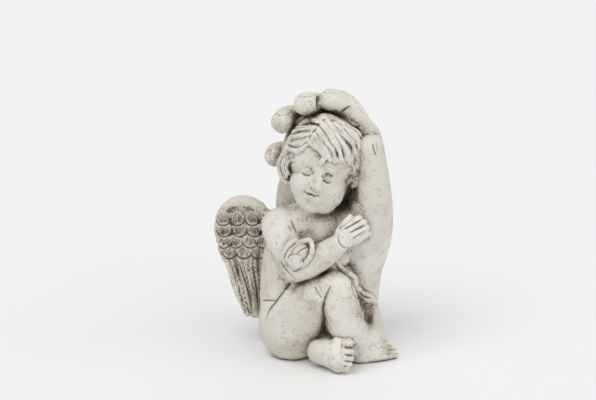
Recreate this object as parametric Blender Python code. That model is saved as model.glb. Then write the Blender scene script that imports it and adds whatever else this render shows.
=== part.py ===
"""Angel statue: a winged child sits in a large open hand that curls over its head, cast in one piece.

The statue is sculpted from overlapping closed forms. They are fused, softened, carved and cut flat below.
Places are in sculpting units, one 280th of the height each. Most are given as the front view shows them:
u to the right of the middle, v up from the floor line, and y away from the viewer.
"""

import math

import bmesh
import bpy
import numpy as np
from mathutils import Matrix, Vector
from mathutils.kdtree import KDTree

HEIGHT = 0.280  # floor to the top of the curled forefinger, in metres
DESIGN_HEIGHT = 280.0  # the same, in sculpting units
UNIT = HEIGHT / DESIGN_HEIGHT

VIEW_TILT = math.radians(15)  # the front view looks down this much
VIEW_DISTANCE = 1407.0
VIEW_MIDDLE = (-24.0, 159.0)  # u and v where the front view's line of sight passes

FLESH_VOXEL = 1.6
FLESH_SOFTENING = 5
DETAIL_VOXEL = 1.25
DETAIL_SOFTENING = 1
TRIANGLES = 9700
FINE_REACH = 3.0  # skin this near to hair, feathers, toes or cloth keeps more faces
FINE_FACTOR = 0.00002

STONE_COLOUR = (0.60, 0.575, 0.52, 1.0)
STONE_ROUGHNESS = 0.85

HEAD_CENTRE = (0.5, 201.0, -8.0)  # u, v, y
HEAD_ROLL = math.radians(19)  # leans on the thumb
HEAD_YAW = math.radians(-4)
HEAD_PITCH = math.radians(6)
SKULL = (33.0, 36.0, 37.0)
FACE_MIDDLE = 0.9  # the face's middle line, left of the head's
EYES_UP = -18.6  # seen from the head's centre
NOSE_UP = -29.0
MOUTH_UP = -38.6
HAIR_CENTRE = (-1.0, -4.0, 4.0)
HAIR = (38.0, 38.5, 41.0)  # the middle of the locks' thickness
CAP_DEPTH = 2.5  # how far the plain cap lies under it
RIGHT_LOCKS = 7
LEFT_LOCKS = 5
BACK_LOCKS = 11

COVERT_LEAN = -20.0  # degrees, lower edge outwards
LOCK_GROOVE = 2.4
PARTING = [(-3.5, 239), (-9, 228), (-14.5, 217)]
RIGHT_ENDS = [(40, 219), (38, 205), (34, 194), (27, 194), (18.5, 200), (12, 198), (6, 200)]
LEFT_ENDS = [(-24, 238), (-33, 230), (-38, 222), (-36, 215), (-27, 209)]
HOOK = [(-13.5, 219), (-6, 214.5), (0.5, 208.5), (2.5, 202), (-1.5, 196)]
CURLS = (
    [(-24, 208.5), (-35, 208), (-42, 198.5), (-42.5, 190), (-39.4, 181), (-35, 177)],
    [(-25, 204), (-33.5, 203), (-38, 196.7), (-38.3, 189), (-36, 182.5)],
    [(-28, 199.5), (-33.5, 197), (-35, 191.6), (-34, 185.7)],
)

NEAR_WING = (-56.0, 145.0)  # u, v of its root
WING_FRONT = 15.0  # the wing lies behind this y
COVERTS = (
    (4.0, (-34, -20, -6)),
    (-6.5, (-43, -29, -14, -1)),
    (-17.5, (-41, -26, -11)),
    (-28.5, (-43, -30, -17, -4)),
    (-39.0, (-37, -22, -8)),
)  # rows of short feathers on a wing: how far up, and where across
FLIGHT_TOPS = (-42, -35.5, -28.5, -20.5, -12, -3)
FLIGHT_ENDS = (-17, -13, -9, -5, -1, 3)
FAR_WING_WAY = (-0.75, 0.66)  # where the hidden wing points, left and back


def seen(u, v, y, *rest):
    """The place that the front view shows at u, v, at depth y."""
    sight = Vector((0, math.cos(VIEW_TILT), -math.sin(VIEW_TILT)))
    upward = Vector((0, math.sin(VIEW_TILT), math.cos(VIEW_TILT)))
    middle = Vector((VIEW_MIDDLE[0], 0, VIEW_MIDDLE[1] / math.cos(VIEW_TILT)))
    eye = middle - sight * VIEW_DISTANCE
    across, up = u - VIEW_MIDDLE[0], v - VIEW_MIDDLE[1]
    ray = sight + Vector((across, 0, 0)) / VIEW_DISTANCE + upward * up / VIEW_DISTANCE
    place = eye + ray * ((y - eye.y) / ray.y)
    return (*place, *rest)


def shown(points):
    """Where the front view shows each point: u, v, and its distance from the eye along the line of sight."""
    sight = np.array([0, math.cos(VIEW_TILT), -math.sin(VIEW_TILT)])
    upward = np.array([0, math.sin(VIEW_TILT), math.cos(VIEW_TILT)])
    middle = np.array([VIEW_MIDDLE[0], 0, VIEW_MIDDLE[1] / math.cos(VIEW_TILT)])
    ways = points - (middle - sight * VIEW_DISTANCE)
    far = ways @ sight
    return (
        VIEW_MIDDLE[0] + ways[:, 0] / far * VIEW_DISTANCE,
        VIEW_MIDDLE[1] + ways @ upward / far * VIEW_DISTANCE,
        far,
    )


def head_axes():
    """Rotation from head directions (to its left, out of its back, up) to the statue's."""
    return (
        Matrix.Rotation(HEAD_ROLL, 3, "Y")
        @ Matrix.Rotation(HEAD_YAW, 3, "Z")
        @ Matrix.Rotation(HEAD_PITCH, 3, "X")
    )


def on_head(left, front, up, *rest):
    """The place that lies so far to the head's left, in front of and above its centre."""
    place = Vector(seen(*HEAD_CENTRE)) + head_axes() @ Vector((left, -front, up))
    return (*place, *rest)


class Clay:
    """Closed forms that overlap, gathered before they are fused."""

    def __init__(self):
        self.points, self.faces, self.count = [], [], 0

    def add(self, points, faces):
        self.points.append(np.asarray(points, float))
        self.faces += [[i + self.count for i in face] for face in faces]
        self.count += len(points)

    def ball(self, centre, radii, turn=None):
        """An ellipsoid. turn is its rotation."""
        sphere = bmesh.new()
        bmesh.ops.create_icosphere(sphere, subdivisions=3, radius=1)
        turn = np.array(turn or Matrix.Identity(3))
        points = np.array([v.co for v in sphere.verts]) * radii @ turn.T + centre
        self.add(points, [[v.index for v in f.verts] for f in sphere.faces])
        sphere.free()

    def limb(self, stations, flat=1.0, facing=None, sides=16, steps=5):
        """A round-ended tube through stations (x, y, z, radius). flat is its thickness over its width,
        and facing the direction of the thickness."""
        line = spline(np.array(stations, float), steps)
        centres, radii = line[:, :3], line[:, 3]
        ahead = np.gradient(centres, axis=0)
        ahead /= np.linalg.norm(ahead, axis=1)[:, None]
        facing = np.array(facing if facing is not None else least_along(ahead.mean(0)), float)
        rings = []
        turns = np.linspace(0, 2 * math.pi, sides, endpoint=False)
        bulge = (math.radians(72), math.radians(48), math.radians(24))
        rows = [(0, -math.sin(b), math.cos(b)) for b in bulge]
        rows += [(i, 0, 1) for i in range(len(centres))]
        rows += [(len(centres) - 1, math.sin(b), math.cos(b)) for b in reversed(bulge)]
        for i, out, share in rows:
            facing = facing - ahead[i] * (facing @ ahead[i])
            facing /= np.linalg.norm(facing)
            side = np.cross(ahead[i], facing)
            centre = centres[i] + ahead[i] * out * radii[i] * (1 + flat) / 2
            ring = np.outer(np.cos(turns), side) + np.outer(np.sin(turns), facing) * flat
            rings.append(centre + ring * radii[i] * share)
        tip = (1 + flat) / 2
        ends = [centres[0] - ahead[0] * radii[0] * tip, centres[-1] + ahead[-1] * radii[-1] * tip]
        faces = []
        for row in range(len(rings) - 1):
            for k in range(sides):
                a, b = row * sides + k, row * sides + (k + 1) % sides
                faces.append([a, b, b + sides, a + sides])
        last, total = (len(rings) - 1) * sides, len(rings) * sides
        for k in range(sides):
            faces.append([total, (k + 1) % sides, k])
            faces.append([total + 1, last + k, last + (k + 1) % sides])
        self.add(np.concatenate([*rings, ends]), faces)


def least_along(direction):
    """The axis that lies least along direction."""
    axis = np.zeros(3)
    axis[np.abs(direction).argmin()] = 1
    return axis


def spline(stations, steps):
    """A smooth line through the stations, with so many steps between each two."""
    if len(stations) < 3:
        share = np.linspace(0, 1, steps + 1)[:, None]
        return stations[0] * (1 - share) + stations[-1] * share
    before = 2 * stations[0] - stations[1]
    after = 2 * stations[-1] - stations[-2]
    p = np.vstack([before, stations, after])
    rows = []
    for i in range(1, len(p) - 2):
        for t in np.linspace(0, 1, steps, endpoint=False):
            rows.append(
                0.5
                * (
                    2 * p[i]
                    + (p[i + 1] - p[i - 1]) * t
                    + (2 * p[i - 1] - 5 * p[i] + 4 * p[i + 1] - p[i + 2]) * t**2
                    + (3 * p[i] - p[i - 1] - 3 * p[i + 1] + p[i + 2]) * t**3
                )
            )
    return np.array(rows + [stations[-1]])


def fused(name, clay, voxel, softening, more=None, strokes=()):
    """The clay's outer skin, softened and carved, as points and faces."""
    points, faces = np.concatenate(clay.points), list(clay.faces)
    if more is not None:
        faces += [[i + len(points) for i in face] for face in more[1]]
        points = np.concatenate([points, more[0]])
    mesh = bpy.data.meshes.new(name)
    mesh.from_pydata(points * UNIT, [], faces)
    form = bpy.data.objects.new(name, mesh)
    bpy.context.scene.collection.objects.link(form)
    remesh = form.modifiers.new("fuse", "REMESH")
    remesh.mode, remesh.voxel_size = "VOXEL", voxel * UNIT
    smooth = form.modifiers.new("soften", "SMOOTH")
    smooth.factor, smooth.iterations = 0.5, softening
    skin = form.evaluated_get(bpy.context.evaluated_depsgraph_get()).to_mesh()
    outer = bmesh.new()
    outer.from_mesh(skin)
    drop_smaller_shells(outer)
    outer.normal_update()
    points = np.array([v.co for v in outer.verts]) / UNIT
    faces = [[v.index for v in f.verts] for f in outer.faces]
    points = carve(points, np.array([v.normal for v in outer.verts]), strokes)
    outer.free()
    bpy.data.objects.remove(form)
    return points, faces


def drop_smaller_shells(skin):
    """Keeps the shell with the most corners: closed hollows and loose crumbs go."""
    unseen, largest = set(skin.verts), []
    while unseen:
        shell, edge = [], [unseen.pop()]
        while edge:
            corner = edge.pop()
            shell.append(corner)
            for side in corner.link_edges:
                other = side.other_vert(corner)
                if other in unseen:
                    unseen.remove(other)
                    edge.append(other)
        if len(shell) > len(largest):
            largest = shell
    keep = set(largest)
    bmesh.ops.delete(skin, geom=[v for v in skin.verts if v not in keep], context="VERTS")
    skin.verts.index_update()


def in_front(u, v, far, reach=5.0, cell=2.0):
    """Which points nothing hides in the front view."""
    column = np.floor(u / cell).astype(int)
    row = np.floor(v / cell).astype(int)
    column -= column.min()
    row -= row.min()
    nearest = np.full((column.max() + 1, row.max() + 1), np.inf)
    np.minimum.at(nearest, (column, row), far)
    return far < nearest[column, row] + reach


def carve(points, normals, strokes):
    """Presses strokes of the front view into the skin. A stroke is a line of u, v, its depth, its width and
    the y that the skin lies beyond, if any. A negative depth raises it."""
    u, v, far = shown(points)
    open_to_view = in_front(u, v, far) & (normals[:, 1] < 0.2)
    moved = points.copy()
    for line, depth, width, *beyond in strokes:
        line = spline(np.array(line, float), 6)
        low, high = line.min(0) - 3 * width, line.max(0) + 3 * width
        beside = (u > low[0]) & (u < high[0]) & (v > low[1]) & (v < high[1])
        deep_enough = points[:, 1] > (beyond or [-np.inf])[0]
        chosen = np.flatnonzero(open_to_view & beside & deep_enough)
        off = np.full(len(chosen), np.inf)
        for a, b in zip(line[:-1], line[1:]):
            along = b - a
            at = np.stack([u[chosen] - a[0], v[chosen] - a[1]], axis=1)
            share = np.clip(at @ along / max(along @ along, 1e-9), 0, 1)
            off = np.minimum(off, np.linalg.norm(at - share[:, None] * along, axis=1))
        press = depth * np.exp(-((off / width) ** 2))
        moved[chosen] -= normals[chosen] * press[:, None]
    return moved


def on_face(left, up):
    """u, v of a place on the face, from its middle line and the head's centre."""
    left += FACE_MIDDLE
    cosine, sine = math.cos(HEAD_ROLL), math.sin(HEAD_ROLL)
    return (HEAD_CENTRE[0] + cosine * left + sine * up, HEAD_CENTRE[1] - sine * left + cosine * up)


def face_strokes():
    """Eye hollows with closed lids, nose, lips and chin."""
    strokes = []
    for side in (-1, 1):
        hollow = [on_face(side * x, EYES_UP + y) for x, y in ((4.5, 0.5), (9, 1.5), (14, 0))]
        lid = [on_face(side * x, EYES_UP + y) for x, y in ((6, -0.5), (9.5, 0.2), (13, -0.8))]
        crease = [on_face(side * x, EYES_UP + y) for x, y in ((4.5, -1.6), (9.5, -3.2), (14.5, -2))]
        brow = [on_face(side * x, EYES_UP + y) for x, y in ((3.5, 6), (10, 8.5), (16.5, 5.5))]
        nostril = [on_face(side * x, NOSE_UP + y) for x, y in ((5.6, 1.5), (5.4, -1.5), (3, -3))]
        strokes += [(hollow, 3.6, 4.6), (lid, -2.2, 2.6), (crease, 1.3, 1.1), (brow, -0.9, 3), (nostril, 1.4, 1.3)]
    parting = [on_face(x, MOUTH_UP + y) for x, y in ((-7.5, 0.6), (-3, -0.4), (0, 0.4), (3, -0.4), (7.5, 0.6))]
    upper = [on_face(x, MOUTH_UP + y) for x, y in ((-5, 1.8), (0, 2.6), (5, 1.8))]
    lower = [on_face(x, MOUTH_UP + y) for x, y in ((-4, -2.4), (0, -3), (4, -2.4))]
    under = [on_face(x, MOUTH_UP + y) for x, y in ((-4.5, -6), (0, -6.6), (4.5, -6))]
    return strokes + [(upper, -1.6, 1.8), (lower, -2, 2), (parting, 1.8, 1.2), (under, 1.6, 2)]


def body_strokes():
    """Folds of the child's skin at the armpit, hip and knee."""
    armpit = [(-29, 138), (-25, 130), (-22, 120)]
    hip = [(-54, 45), (-46.5, 56), (-36, 70)]
    hip_tuck = [(-57, 57.5), (-46, 57.5)]
    knee = [(8, 70), (2.5, 59), (1, 50), (2.5, 38), (3.5, 29)]
    knee_tuck = [(-5, 71), (0.5, 60)]
    return [(armpit, 1.6, 2), (hip, 2.6, 2.2), (hip_tuck, 1.8, 1.6), (knee, 3, 2.4), (knee_tuck, 1.6, 1.8)]


def digit_strokes():
    """Gaps between the small hand's fingers and between the turned-up foot's toes."""
    gaps = ([(17, 131), (33, 142)], [(23, 130), (40, 139)], [(28, 126), (43.5, 134)], [(31.5, 120.5), (45, 128.5)])
    strokes = [(gap, 2, 1.2) for gap in gaps]
    strokes += [([(20, v + 0.5), (31, v - 0.5)], 2, 1.3) for v in (11.5, 3.8, -2.5, -7.7)]
    return strokes + [([(19.5, 21), (19, 8), (18, -9)], 1.6, 1.6)]


def giant_hand(clay):
    """The large right hand: wrist, back, palm behind the child, and thumb beside its head."""
    across = Matrix.Rotation(math.radians(-18), 3, "Z") @ Vector((0, 1, 0))
    wrist = [(24, 32, -14, 43), (24, 32, 10, 40), (24, 33, 40, 34), (24, 36, 72, 32), (22, 40, 104, 36)]
    clay.limb(wrist, flat=0.72, facing=across, sides=32)
    palm = [(24, 36, 56, 32), (21, 40, 96, 42), (11, 42, 138, 50), (7, 44, 172, 50), (8, 45, 190, 44)]
    clay.limb(palm, flat=0.42, facing=across, sides=32)
    clay.ball((-17, 44, 150), (30, 19, 50))
    clay.limb([seen(*s) for s in [(34, 56, 8, 22), (36, 88, 4, 24), (38, 108, 2, 28), (38, 128, 0, 32)]], sides=24)
    clay.ball(seen(44, 165, 18), (18, 26, 46))
    clay.ball(seen(34, 203, 44), (13, 10, 15))
    thumb = [(38, 92, 10, 22), (46, 124, -2, 24), (50, 157, -12, 20.5), (51, 183, -16, 15.8), (49, 211, -17, 13)]
    clay.limb([seen(*s) for s in thumb], sides=24)


def giant_fingers(clay):
    """The four fingers, each from the wrist over its knuckle and forward over the child's head."""
    forefinger = [(32, 100, 40, 15), (41, 160, 37, 16), (46, 200, 32, 17), (45, 221, 20, 14.5)]
    forefinger += [(37.5, 231.5, 12, 13.5), (31, 244, 5, 12.7), (23, 253.5, 0, 12.3), (14.5, 257.8, -4, 11.8)]
    forefinger += [(8, 259, -8, 11.2)]
    middle = [(26, 106, 50, 14), (24, 165, 55, 15.5), (22, 205, 56, 17), (19, 232, 46, 15.5), (12, 245, 36, 13.3)]
    middle += [(2, 252.5, 20, 12), (-8, 255, 4, 11.6), (-17, 255, -16, 11.3)]
    ring = [(16, 106, 54, 13), (6, 165, 60, 14.5), (0, 203, 62, 16.5), (-6, 228, 54, 14.5), (-14, 238, 44, 13)]
    ring += [(-24, 242.5, 28, 11.8), (-33.5, 241.5, 8, 11.6), (-39.6, 237, -9, 11.4)]
    little = [(8, 104, 54, 12), (-10, 155, 61, 13.5), (-22, 190, 62, 15), (-32, 205, 54, 12.4), (-41, 207, 42, 11)]
    little += [(-46, 205.5, 26, 10.6), (-47.4, 202.5, 6, 10.3)]
    for finger in (forefinger, middle, ring, little):
        clay.limb([seen(*s) for s in finger], sides=20)


def trunk(clay):
    """Torso, neck and seat."""
    clay.limb(
        [seen(*s) for s in [(-28, 35, 8, 35), (-31, 78, 6, 31), (-26, 112, 4, 30), (-20, 134, 2, 24)]],
        sides=24,
    )
    clay.ball(seen(-30, 36, 4), (34.5, 38, 39))
    clay.ball(seen(-4, 126, -8), (24, 20, 24))
    clay.ball(seen(8, 124, 2), (24, 24, 22))
    clay.limb([seen(*s) for s in [(-14, 140, 0, 16), (-8, 160, -2, 15)]])


def near_arm(clay):
    """The child's right arm, folded across to the thumb."""
    upper = [(-40, 132, -4, 20.5), (-34, 112, -16, 18.5), (-26, 92, -27, 15)]
    clay.limb([seen(*s) for s in upper], sides=20)
    fore = [(-25, 91, -29, 14), (-12, 96.5, -35, 14.5), (2, 104, -39, 13), (13, 112, -40, 11), (19, 117, -40, 9.6)]
    clay.limb([seen(*s) for s in fore], sides=20)


def far_arm(clay):
    """The child's left arm, which shows little: shoulder, and elbow under the other forearm."""
    clay.limb([seen(*s) for s in [(14, 132, 0, 18), (20, 112, -10, 15), (10, 98, -24, 13)]])


def near_hand(clay):
    """The small hand that lies on the thumb's root."""
    toward = Vector(seen(23, 125, -42)) - Vector(seen(20, 122, -30))
    clay.limb([seen(*s) for s in [(19, 117, -41, 10), (27, 126, -41, 12)]], flat=0.62, facing=toward)
    fingers = (
        ((17, 127, -40), (28, 141.5, -35)),
        ((22, 132, -43), (37, 141, -37)),
        ((27, 129, -44), (42, 136.5, -38)),
        ((31, 124, -44), (44.5, 131.5, -37)),
        ((33, 118, -42), (44.5, 125.5, -36)),
    )
    for knuckle, tip in fingers:
        middle = [(a + b) / 2 for a, b in zip(knuckle, tip)]
        clay.limb([seen(*knuckle, 4.1), seen(*middle, 4), seen(*tip, 3.4)], sides=12)


def near_leg(clay):
    """The child's right leg, knee drawn up, foot flat at the right."""
    thigh = [(-28, 34, 0, 33), (-12, 52, -16, 28), (2, 65, -30, 22), (12, 71.5, -36, 17.5)]
    clay.limb([seen(*s) for s in thigh], sides=24)
    shin = [(14, 71, -37, 17.5), (18, 54, -40, 19), (23.5, 36, -37, 18.5), (31, 22, -29, 14), (36, 12, -22, 11)]
    clay.limb([seen(*s) for s in shin], sides=24)
    foot = [(37, 6, -18, 12), (50, 7.5, -15, 12), (61, 6.5, -12, 10), (69, 5.5, -9, 7)]
    clay.limb([seen(*s) for s in foot], sides=20)


def far_leg(clay):
    """The child's left leg, laid flat, with its sole turned to the front."""
    clay.limb([seen(*s) for s in [(0, 30, 6, 28), (24, 30, 0, 24), (38, 24, -2, 18)]])
    clay.ball(seen(10, 26, -14), (20, 18, 20))
    clay.limb([seen(*s) for s in [(44, 22, -6, 16), (26, 16, -24, 14), (6, 12, -34, 12)]])
    sole = Vector((-0.5, -0.84, 0.1))
    foot = [(-4, 7.5, -37, 12.5), (6, 6, -43, 14), (15, 4, -49, 16.5)]
    clay.limb([seen(*s) for s in foot], flat=0.78, facing=sole, sides=24)


def far_toes(clay):
    """Five toes on the turned-up foot, the big one above."""
    toes = ((25.5, 16, -51, 6.2), (27.5, 7, -55, 4.6), (28, 0.5, -56, 4.2), (27, -5.3, -56, 3.9), (24.5, -10, -55, 3.4))
    for u, v, y, radius in toes:
        clay.limb([seen(u - 9, v + 1, y + 2, radius), seen(u, v, y, radius)], sides=12)


def near_toes(clay):
    """Toes of the foot at the right."""
    for u, v, y, radius in ((68, 9, -17, 5.6), (71, 7.5, -10, 4.6), (71.5, 8.5, -4.5, 4.1), (70, 9.5, 0.5, 3.7)):
        clay.limb([seen(u - 8, v + 1, y, radius), seen(u, v, y, radius)], sides=12)


def head(clay):
    """Skull, face, cheeks, chin, nose and lips of a small child."""
    axes = head_axes()
    clay.ball(on_head(1, -3, 3), SKULL, axes)
    clay.ball(on_head(4, 6, -22), (29, 31, 27), axes)
    clay.ball(on_head(2, 10, -6), (26, 25, 24), axes)
    clay.ball(on_head(-8, 20.5, -25), (15, 15, 15), axes)
    clay.ball(on_head(16, 19, -26), (16, 15.5, 16), axes)
    clay.ball(on_head(4, 23.5, -41), (11, 10, 8.5), axes)
    clay.ball(on_head(4, 31, -32), (9, 6, 7), axes)
    clay.limb([on_head(*s) for s in [(4, 33, -6, 3), (4, 36.5, -12, 3.2), (4, 39, -17.5, 4)]])
    for side in (-1, 1):
        clay.ball(on_head(4 + side * 3.8, 36.5, -18), (2.8, 3, 2.6), axes)
        clay.ball(on_head(4 + side * 35, -2, -10), (5, 8, 11), axes)


def on_hair(u, v, lift):
    """The place on the cap of hair, raised by lift, that the front view shows nearest to u, v."""
    centre, turn = Vector(on_head(*HAIR_CENTRE)), head_axes().transposed()
    radii = Vector(HAIR) + Vector((lift, lift, lift))
    middle_u, middle_v, middle_y = HEAD_CENTRE
    for share in np.linspace(1, 0, 41):
        near_u, near_v = middle_u + (u - middle_u) * share, middle_v + (v - middle_v) * share
        for y in np.arange(middle_y - 60, middle_y + 20, 0.5):
            way = turn @ (Vector(seen(near_u, near_v, y)) - centre)
            if sum((w / r) ** 2 for w, r in zip(way, radii)) <= 1:
                return seen(near_u, near_v, y)
    return tuple(centre)


def lock(clay, line, radius, lift=1.2):
    """A lock of hair along a line of u, v over the cap, thickest in the middle."""
    line = spline(np.array(line, float), 3)
    stations = []
    for (u, v), share in zip(line, np.linspace(0, 1, len(line))):
        swell = 0.6 + 0.4 * math.sin(math.pi * (0.1 + 0.8 * share))
        stations.append((*on_hair(u, v, lift), radius * swell))
    outward = Vector(stations[0][:3]) - Vector(on_head(*HAIR_CENTRE))
    clay.limb(stations, flat=0.7, facing=outward, sides=10, steps=2)


def between(line, share):
    """The point at that share of the way along a line of points."""
    at = share * (len(line) - 1)
    return [float(np.interp(at, range(len(line)), [p[k] for p in line])) for k in range(len(line[0]))]


def right_lock(share):
    """A line of u, v down the hair on the parting's right: the first lies under the finger, the last in front."""
    root, end = between(PARTING, share), between(RIGHT_ENDS, share)
    rise = 7 - 4 * share
    first = (root[0] * 0.62 + end[0] * 0.38, root[1] * 0.62 + end[1] * 0.38 + rise)
    second = (root[0] * 0.3 + end[0] * 0.7 + 1.5, root[1] * 0.3 + end[1] * 0.7 + rise * 0.8)
    return [root, first, second, end]


def left_lock(share):
    """The same on the parting's left."""
    root, end = between(PARTING, share), between(LEFT_ENDS, share)
    middle = ((root[0] + end[0]) / 2, (root[1] + end[1]) / 2 - 1 - 3.5 * share)
    return [root, middle, end]


def front_hair(clay):
    """Locks swept down both ways from the parting, a hooked one on the forehead, and curls at the ears."""
    for way, count in ((right_lock, RIGHT_LOCKS), (left_lock, LEFT_LOCKS)):
        for i in range(count):
            lock(clay, way(i / (count - 1)), 3.7, 0.7 * (i % 2))
    lock(clay, HOOK, 4.2, 1.8)
    for depth, curl in enumerate(CURLS):
        stations = [seen(u, v, -14 - 3 * depth, 2.6) for u, v in curl]
        clay.limb(stations, sides=10, steps=4)
    for u, v, y in ((31, 190, -18), (35, 184.5, -14), (32, 178, -12)):
        clay.ball(seen(u, v, y), (4.4, 4.2, 4.6))


def hair_strokes():
    """Grooves between the locks in front, and the parting."""
    strokes = [(PARTING, 2, 1.4)]
    for way, count in ((right_lock, RIGHT_LOCKS), (left_lock, LEFT_LOCKS)):
        strokes += [(way((i + 0.5) / (count - 1)), LOCK_GROOVE, 1.5) for i in range(count - 1)]
    return strokes


def back_hair(clay):
    """The cap of hair, and plain locks that fall from its crown behind."""
    clay.ball(on_head(*HAIR_CENTRE), [r - CAP_DEPTH for r in HAIR], head_axes())
    left, front, up = HAIR_CENTRE
    for i in range(BACK_LOCKS):
        turn = math.radians(-112 + 224 * i / (BACK_LOCKS - 1))
        stations = []
        for fall in np.linspace(math.radians(24), math.radians(122), 6):
            way = Vector((math.sin(turn) * math.sin(fall), -math.cos(turn) * math.sin(fall), math.cos(fall)))
            reach = Vector([w * r for w, r in zip(way, HAIR)])
            stations.append(on_head(left + reach.x, front + reach.y, up + reach.z, 4.4))
        outward = Vector(stations[2][:3]) - Vector(on_head(*HAIR_CENTRE))
        clay.limb(stations, flat=0.7, facing=outward, sides=10, steps=3)


def wing_feather(clay, place, top, bottom, radius, out):
    """A long flight feather."""
    (a, b), (c, d) = top, bottom
    facing = Vector(place(a, b, 1)) - Vector(place(a, b, 0))
    middle = ((a * 0.45 + c * 0.55) - 1.5, b * 0.45 + d * 0.55)
    stations = [place(a, b, out, radius), place(*middle, out, radius * 1.05), place(c, d, out, radius * 0.7)]
    clay.limb(stations, flat=0.42, facing=facing, sides=12)


def wing(clay, place):
    """One wing. place turns the wing's own across, up and out into the statue's."""
    rim = [(2, -16, 0, 7), (-3, 0, 0, 7.5), (-15, 10.5, 0, 7), (-30, 11.5, 0, 6.5), (-42, 2, 0, 6), (-47, -12, 0, 5)]
    rim += [(-46, -26, 0, 4)]
    clay.limb([place(*s) for s in rim])
    plate = [(-22, -3, -2, 24), (-23, -30, -2.5, 24), (-17, -62, -3, 19), (-8, -90, -3, 12)]
    facing = Vector(place(0, 0, 1)) - Vector(place(0, 0, 0))
    clay.limb([place(*s) for s in plate], flat=0.2, facing=facing, sides=24)
    clay.limb([place(*s) for s in [(6, -8, 0, 10), (8, -34, -2, 9)]])
    for i, (top, end) in enumerate(zip(FLIGHT_TOPS, FLIGHT_ENDS)):
        wing_feather(clay, place, (top, -32), (end, -100 + 1.5 * abs(i - 1)), 4.3, 2.2 + 0.5 * i)
    turn = Matrix((Vector(place(1, 0, 0)) - Vector(place(0, 0, 0)), facing, (0, 0, 1))).transposed()
    lean = turn @ Matrix.Rotation(math.radians(COVERT_LEAN), 3, "X")
    for row, (up, places) in enumerate(reversed(COVERTS)):
        for across in places:
            clay.ball(place(across, up, 2.8 + 0.4 * row), (7.0, 2.8, 7.4), lean)


def wing_strokes():
    """The rounded lower edges of the short feathers, and the gaps between the long ones."""
    at_u, at_v = NEAR_WING
    strokes = []
    for up, places in COVERTS:
        for across in places:
            turns = [math.radians(a) for a in range(-160, -19, 20)]
            edge = [(at_u + across + 7.2 * math.cos(t), at_v + up + 1 + 7.4 * math.sin(t)) for t in turns]
            strokes.append((edge, 2.2, 1.2, WING_FRONT))
    for top, end in zip(between_pairs(FLIGHT_TOPS), between_pairs(FLIGHT_ENDS)):
        line = [(top, -46), ((top + end) / 2 - 1, -74), (end, -101)]
        strokes.append(([(at_u + across, at_v + up) for across, up in line], 2.6, 1.2, WING_FRONT))
    return strokes


def between_pairs(row):
    """The middles between neighbours."""
    return [(a + b) / 2 for a, b in zip(row, row[1:])]


def near_wing_place(across, up, out, *rest):
    """Where the wing behind the child's right shoulder puts its own coordinates."""
    return seen(NEAR_WING[0] + across, NEAR_WING[1] + up, 26 - across * 0.22 - out, *rest)


def far_wing_place(across, up, out, *rest):
    """Where the other wing does. It leaves the back between the body and the large palm."""
    along, aside = FAR_WING_WAY
    left = -38 - along * across * 0.88 + aside * out
    back = 48 - aside * across * 0.88 - along * out
    return (left, back, 114 + up * 0.86, *rest)


def drapery(clay):
    """Cloth gathered in the crook of the arm, its rolled hem beside the knee, and its folds round the wrist."""
    clay.limb([seen(*s) for s in [(33, 50, 22, 25), (34, 34, 22, 29), (35, 12, 22, 32), (35, -8, 22, 32)]], sides=24)
    clay.limb([seen(*s) for s in [(22, 88, -18, 9), (30, 78, -14, 9), (35, 66, -10, 9), (42, 56, -4, 9)]])
    hem = [(14, 99, -36, 2.4), (19, 91, -34, 2.8), (27, 85, -31, 3.2), (32, 80, -29, 3.8), (32.7, 72, -27, 3.8)]
    hem += [(35.5, 65, -24, 3.6), (41, 60.5, -20, 3.4), (47.8, 58.9, -14, 3.4), (54, 56, -8, 3)]
    clay.limb([seen(*s) for s in hem], sides=12)
    upper = [(37, 71, -22, 2.4), (39.5, 67, -22, 2.6), (44.5, 64.3, -18, 2.6), (49, 62.4, -12, 2.6), (54, 57, -8, 2.4)]
    clay.limb([seen(*s) for s in upper], sides=12)
    clay.ball(seen(-25, 104, -40), (15, 8, 15))
    outer = [(-37, 97, -38, 3), (-37.5, 105, -40, 3.2), (-33, 113.5, -41, 3.4), (-26, 118, -39, 3.2)]
    inner = [(-32.5, 104, -45, 2.6), (-27.5, 111.5, -46, 3), (-20, 117, -45, 3), (-13, 119, -41, 2.8)]
    rim = [(-11, 117, -43, 2.6), (-10, 111, -47, 2.8), (-11.5, 103.5, -49, 2.8), (-15.5, 97.5, -50, 2.6)]
    rim += [(-21, 93.5, -48, 2.6), (-28, 90, -45, 2.6)]
    for fold in (outer, inner, rim):
        clay.limb([seen(*s) for s in fold], sides=12)
    clay.ball(seen(-27.5, 97.5, -47), (6.5, 4, 7.5))


def cast_stone():
    """Pale warm-grey cast stone."""
    stone = bpy.data.materials.new("cast_stone")
    stone.use_nodes = True
    surface = stone.node_tree.nodes["Principled BSDF"]
    surface.inputs["Base Color"].default_value = STONE_COLOUR
    surface.inputs["Roughness"].default_value = STONE_ROUGHNESS
    surface.inputs["Metallic"].default_value = 0.0
    return stone


def cut_flat(form):
    """Cuts the form off at the floor with a Boolean."""
    size = 2 * HEIGHT
    mesh = bpy.data.meshes.new("floor_cutter")
    box = bmesh.new()
    bmesh.ops.create_cube(box, size=size, matrix=Matrix.Translation((0, 0, -size / 2)))
    box.to_mesh(mesh)
    box.free()
    cutter = bpy.data.objects.new("floor_cutter", mesh)
    bpy.context.scene.collection.objects.link(cutter)
    cutter.hide_render = True
    cutter.display_type = "WIRE"
    cut = form.modifiers.new("flat underside", "BOOLEAN")
    cut.operation, cut.object = "DIFFERENCE", cutter


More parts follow.
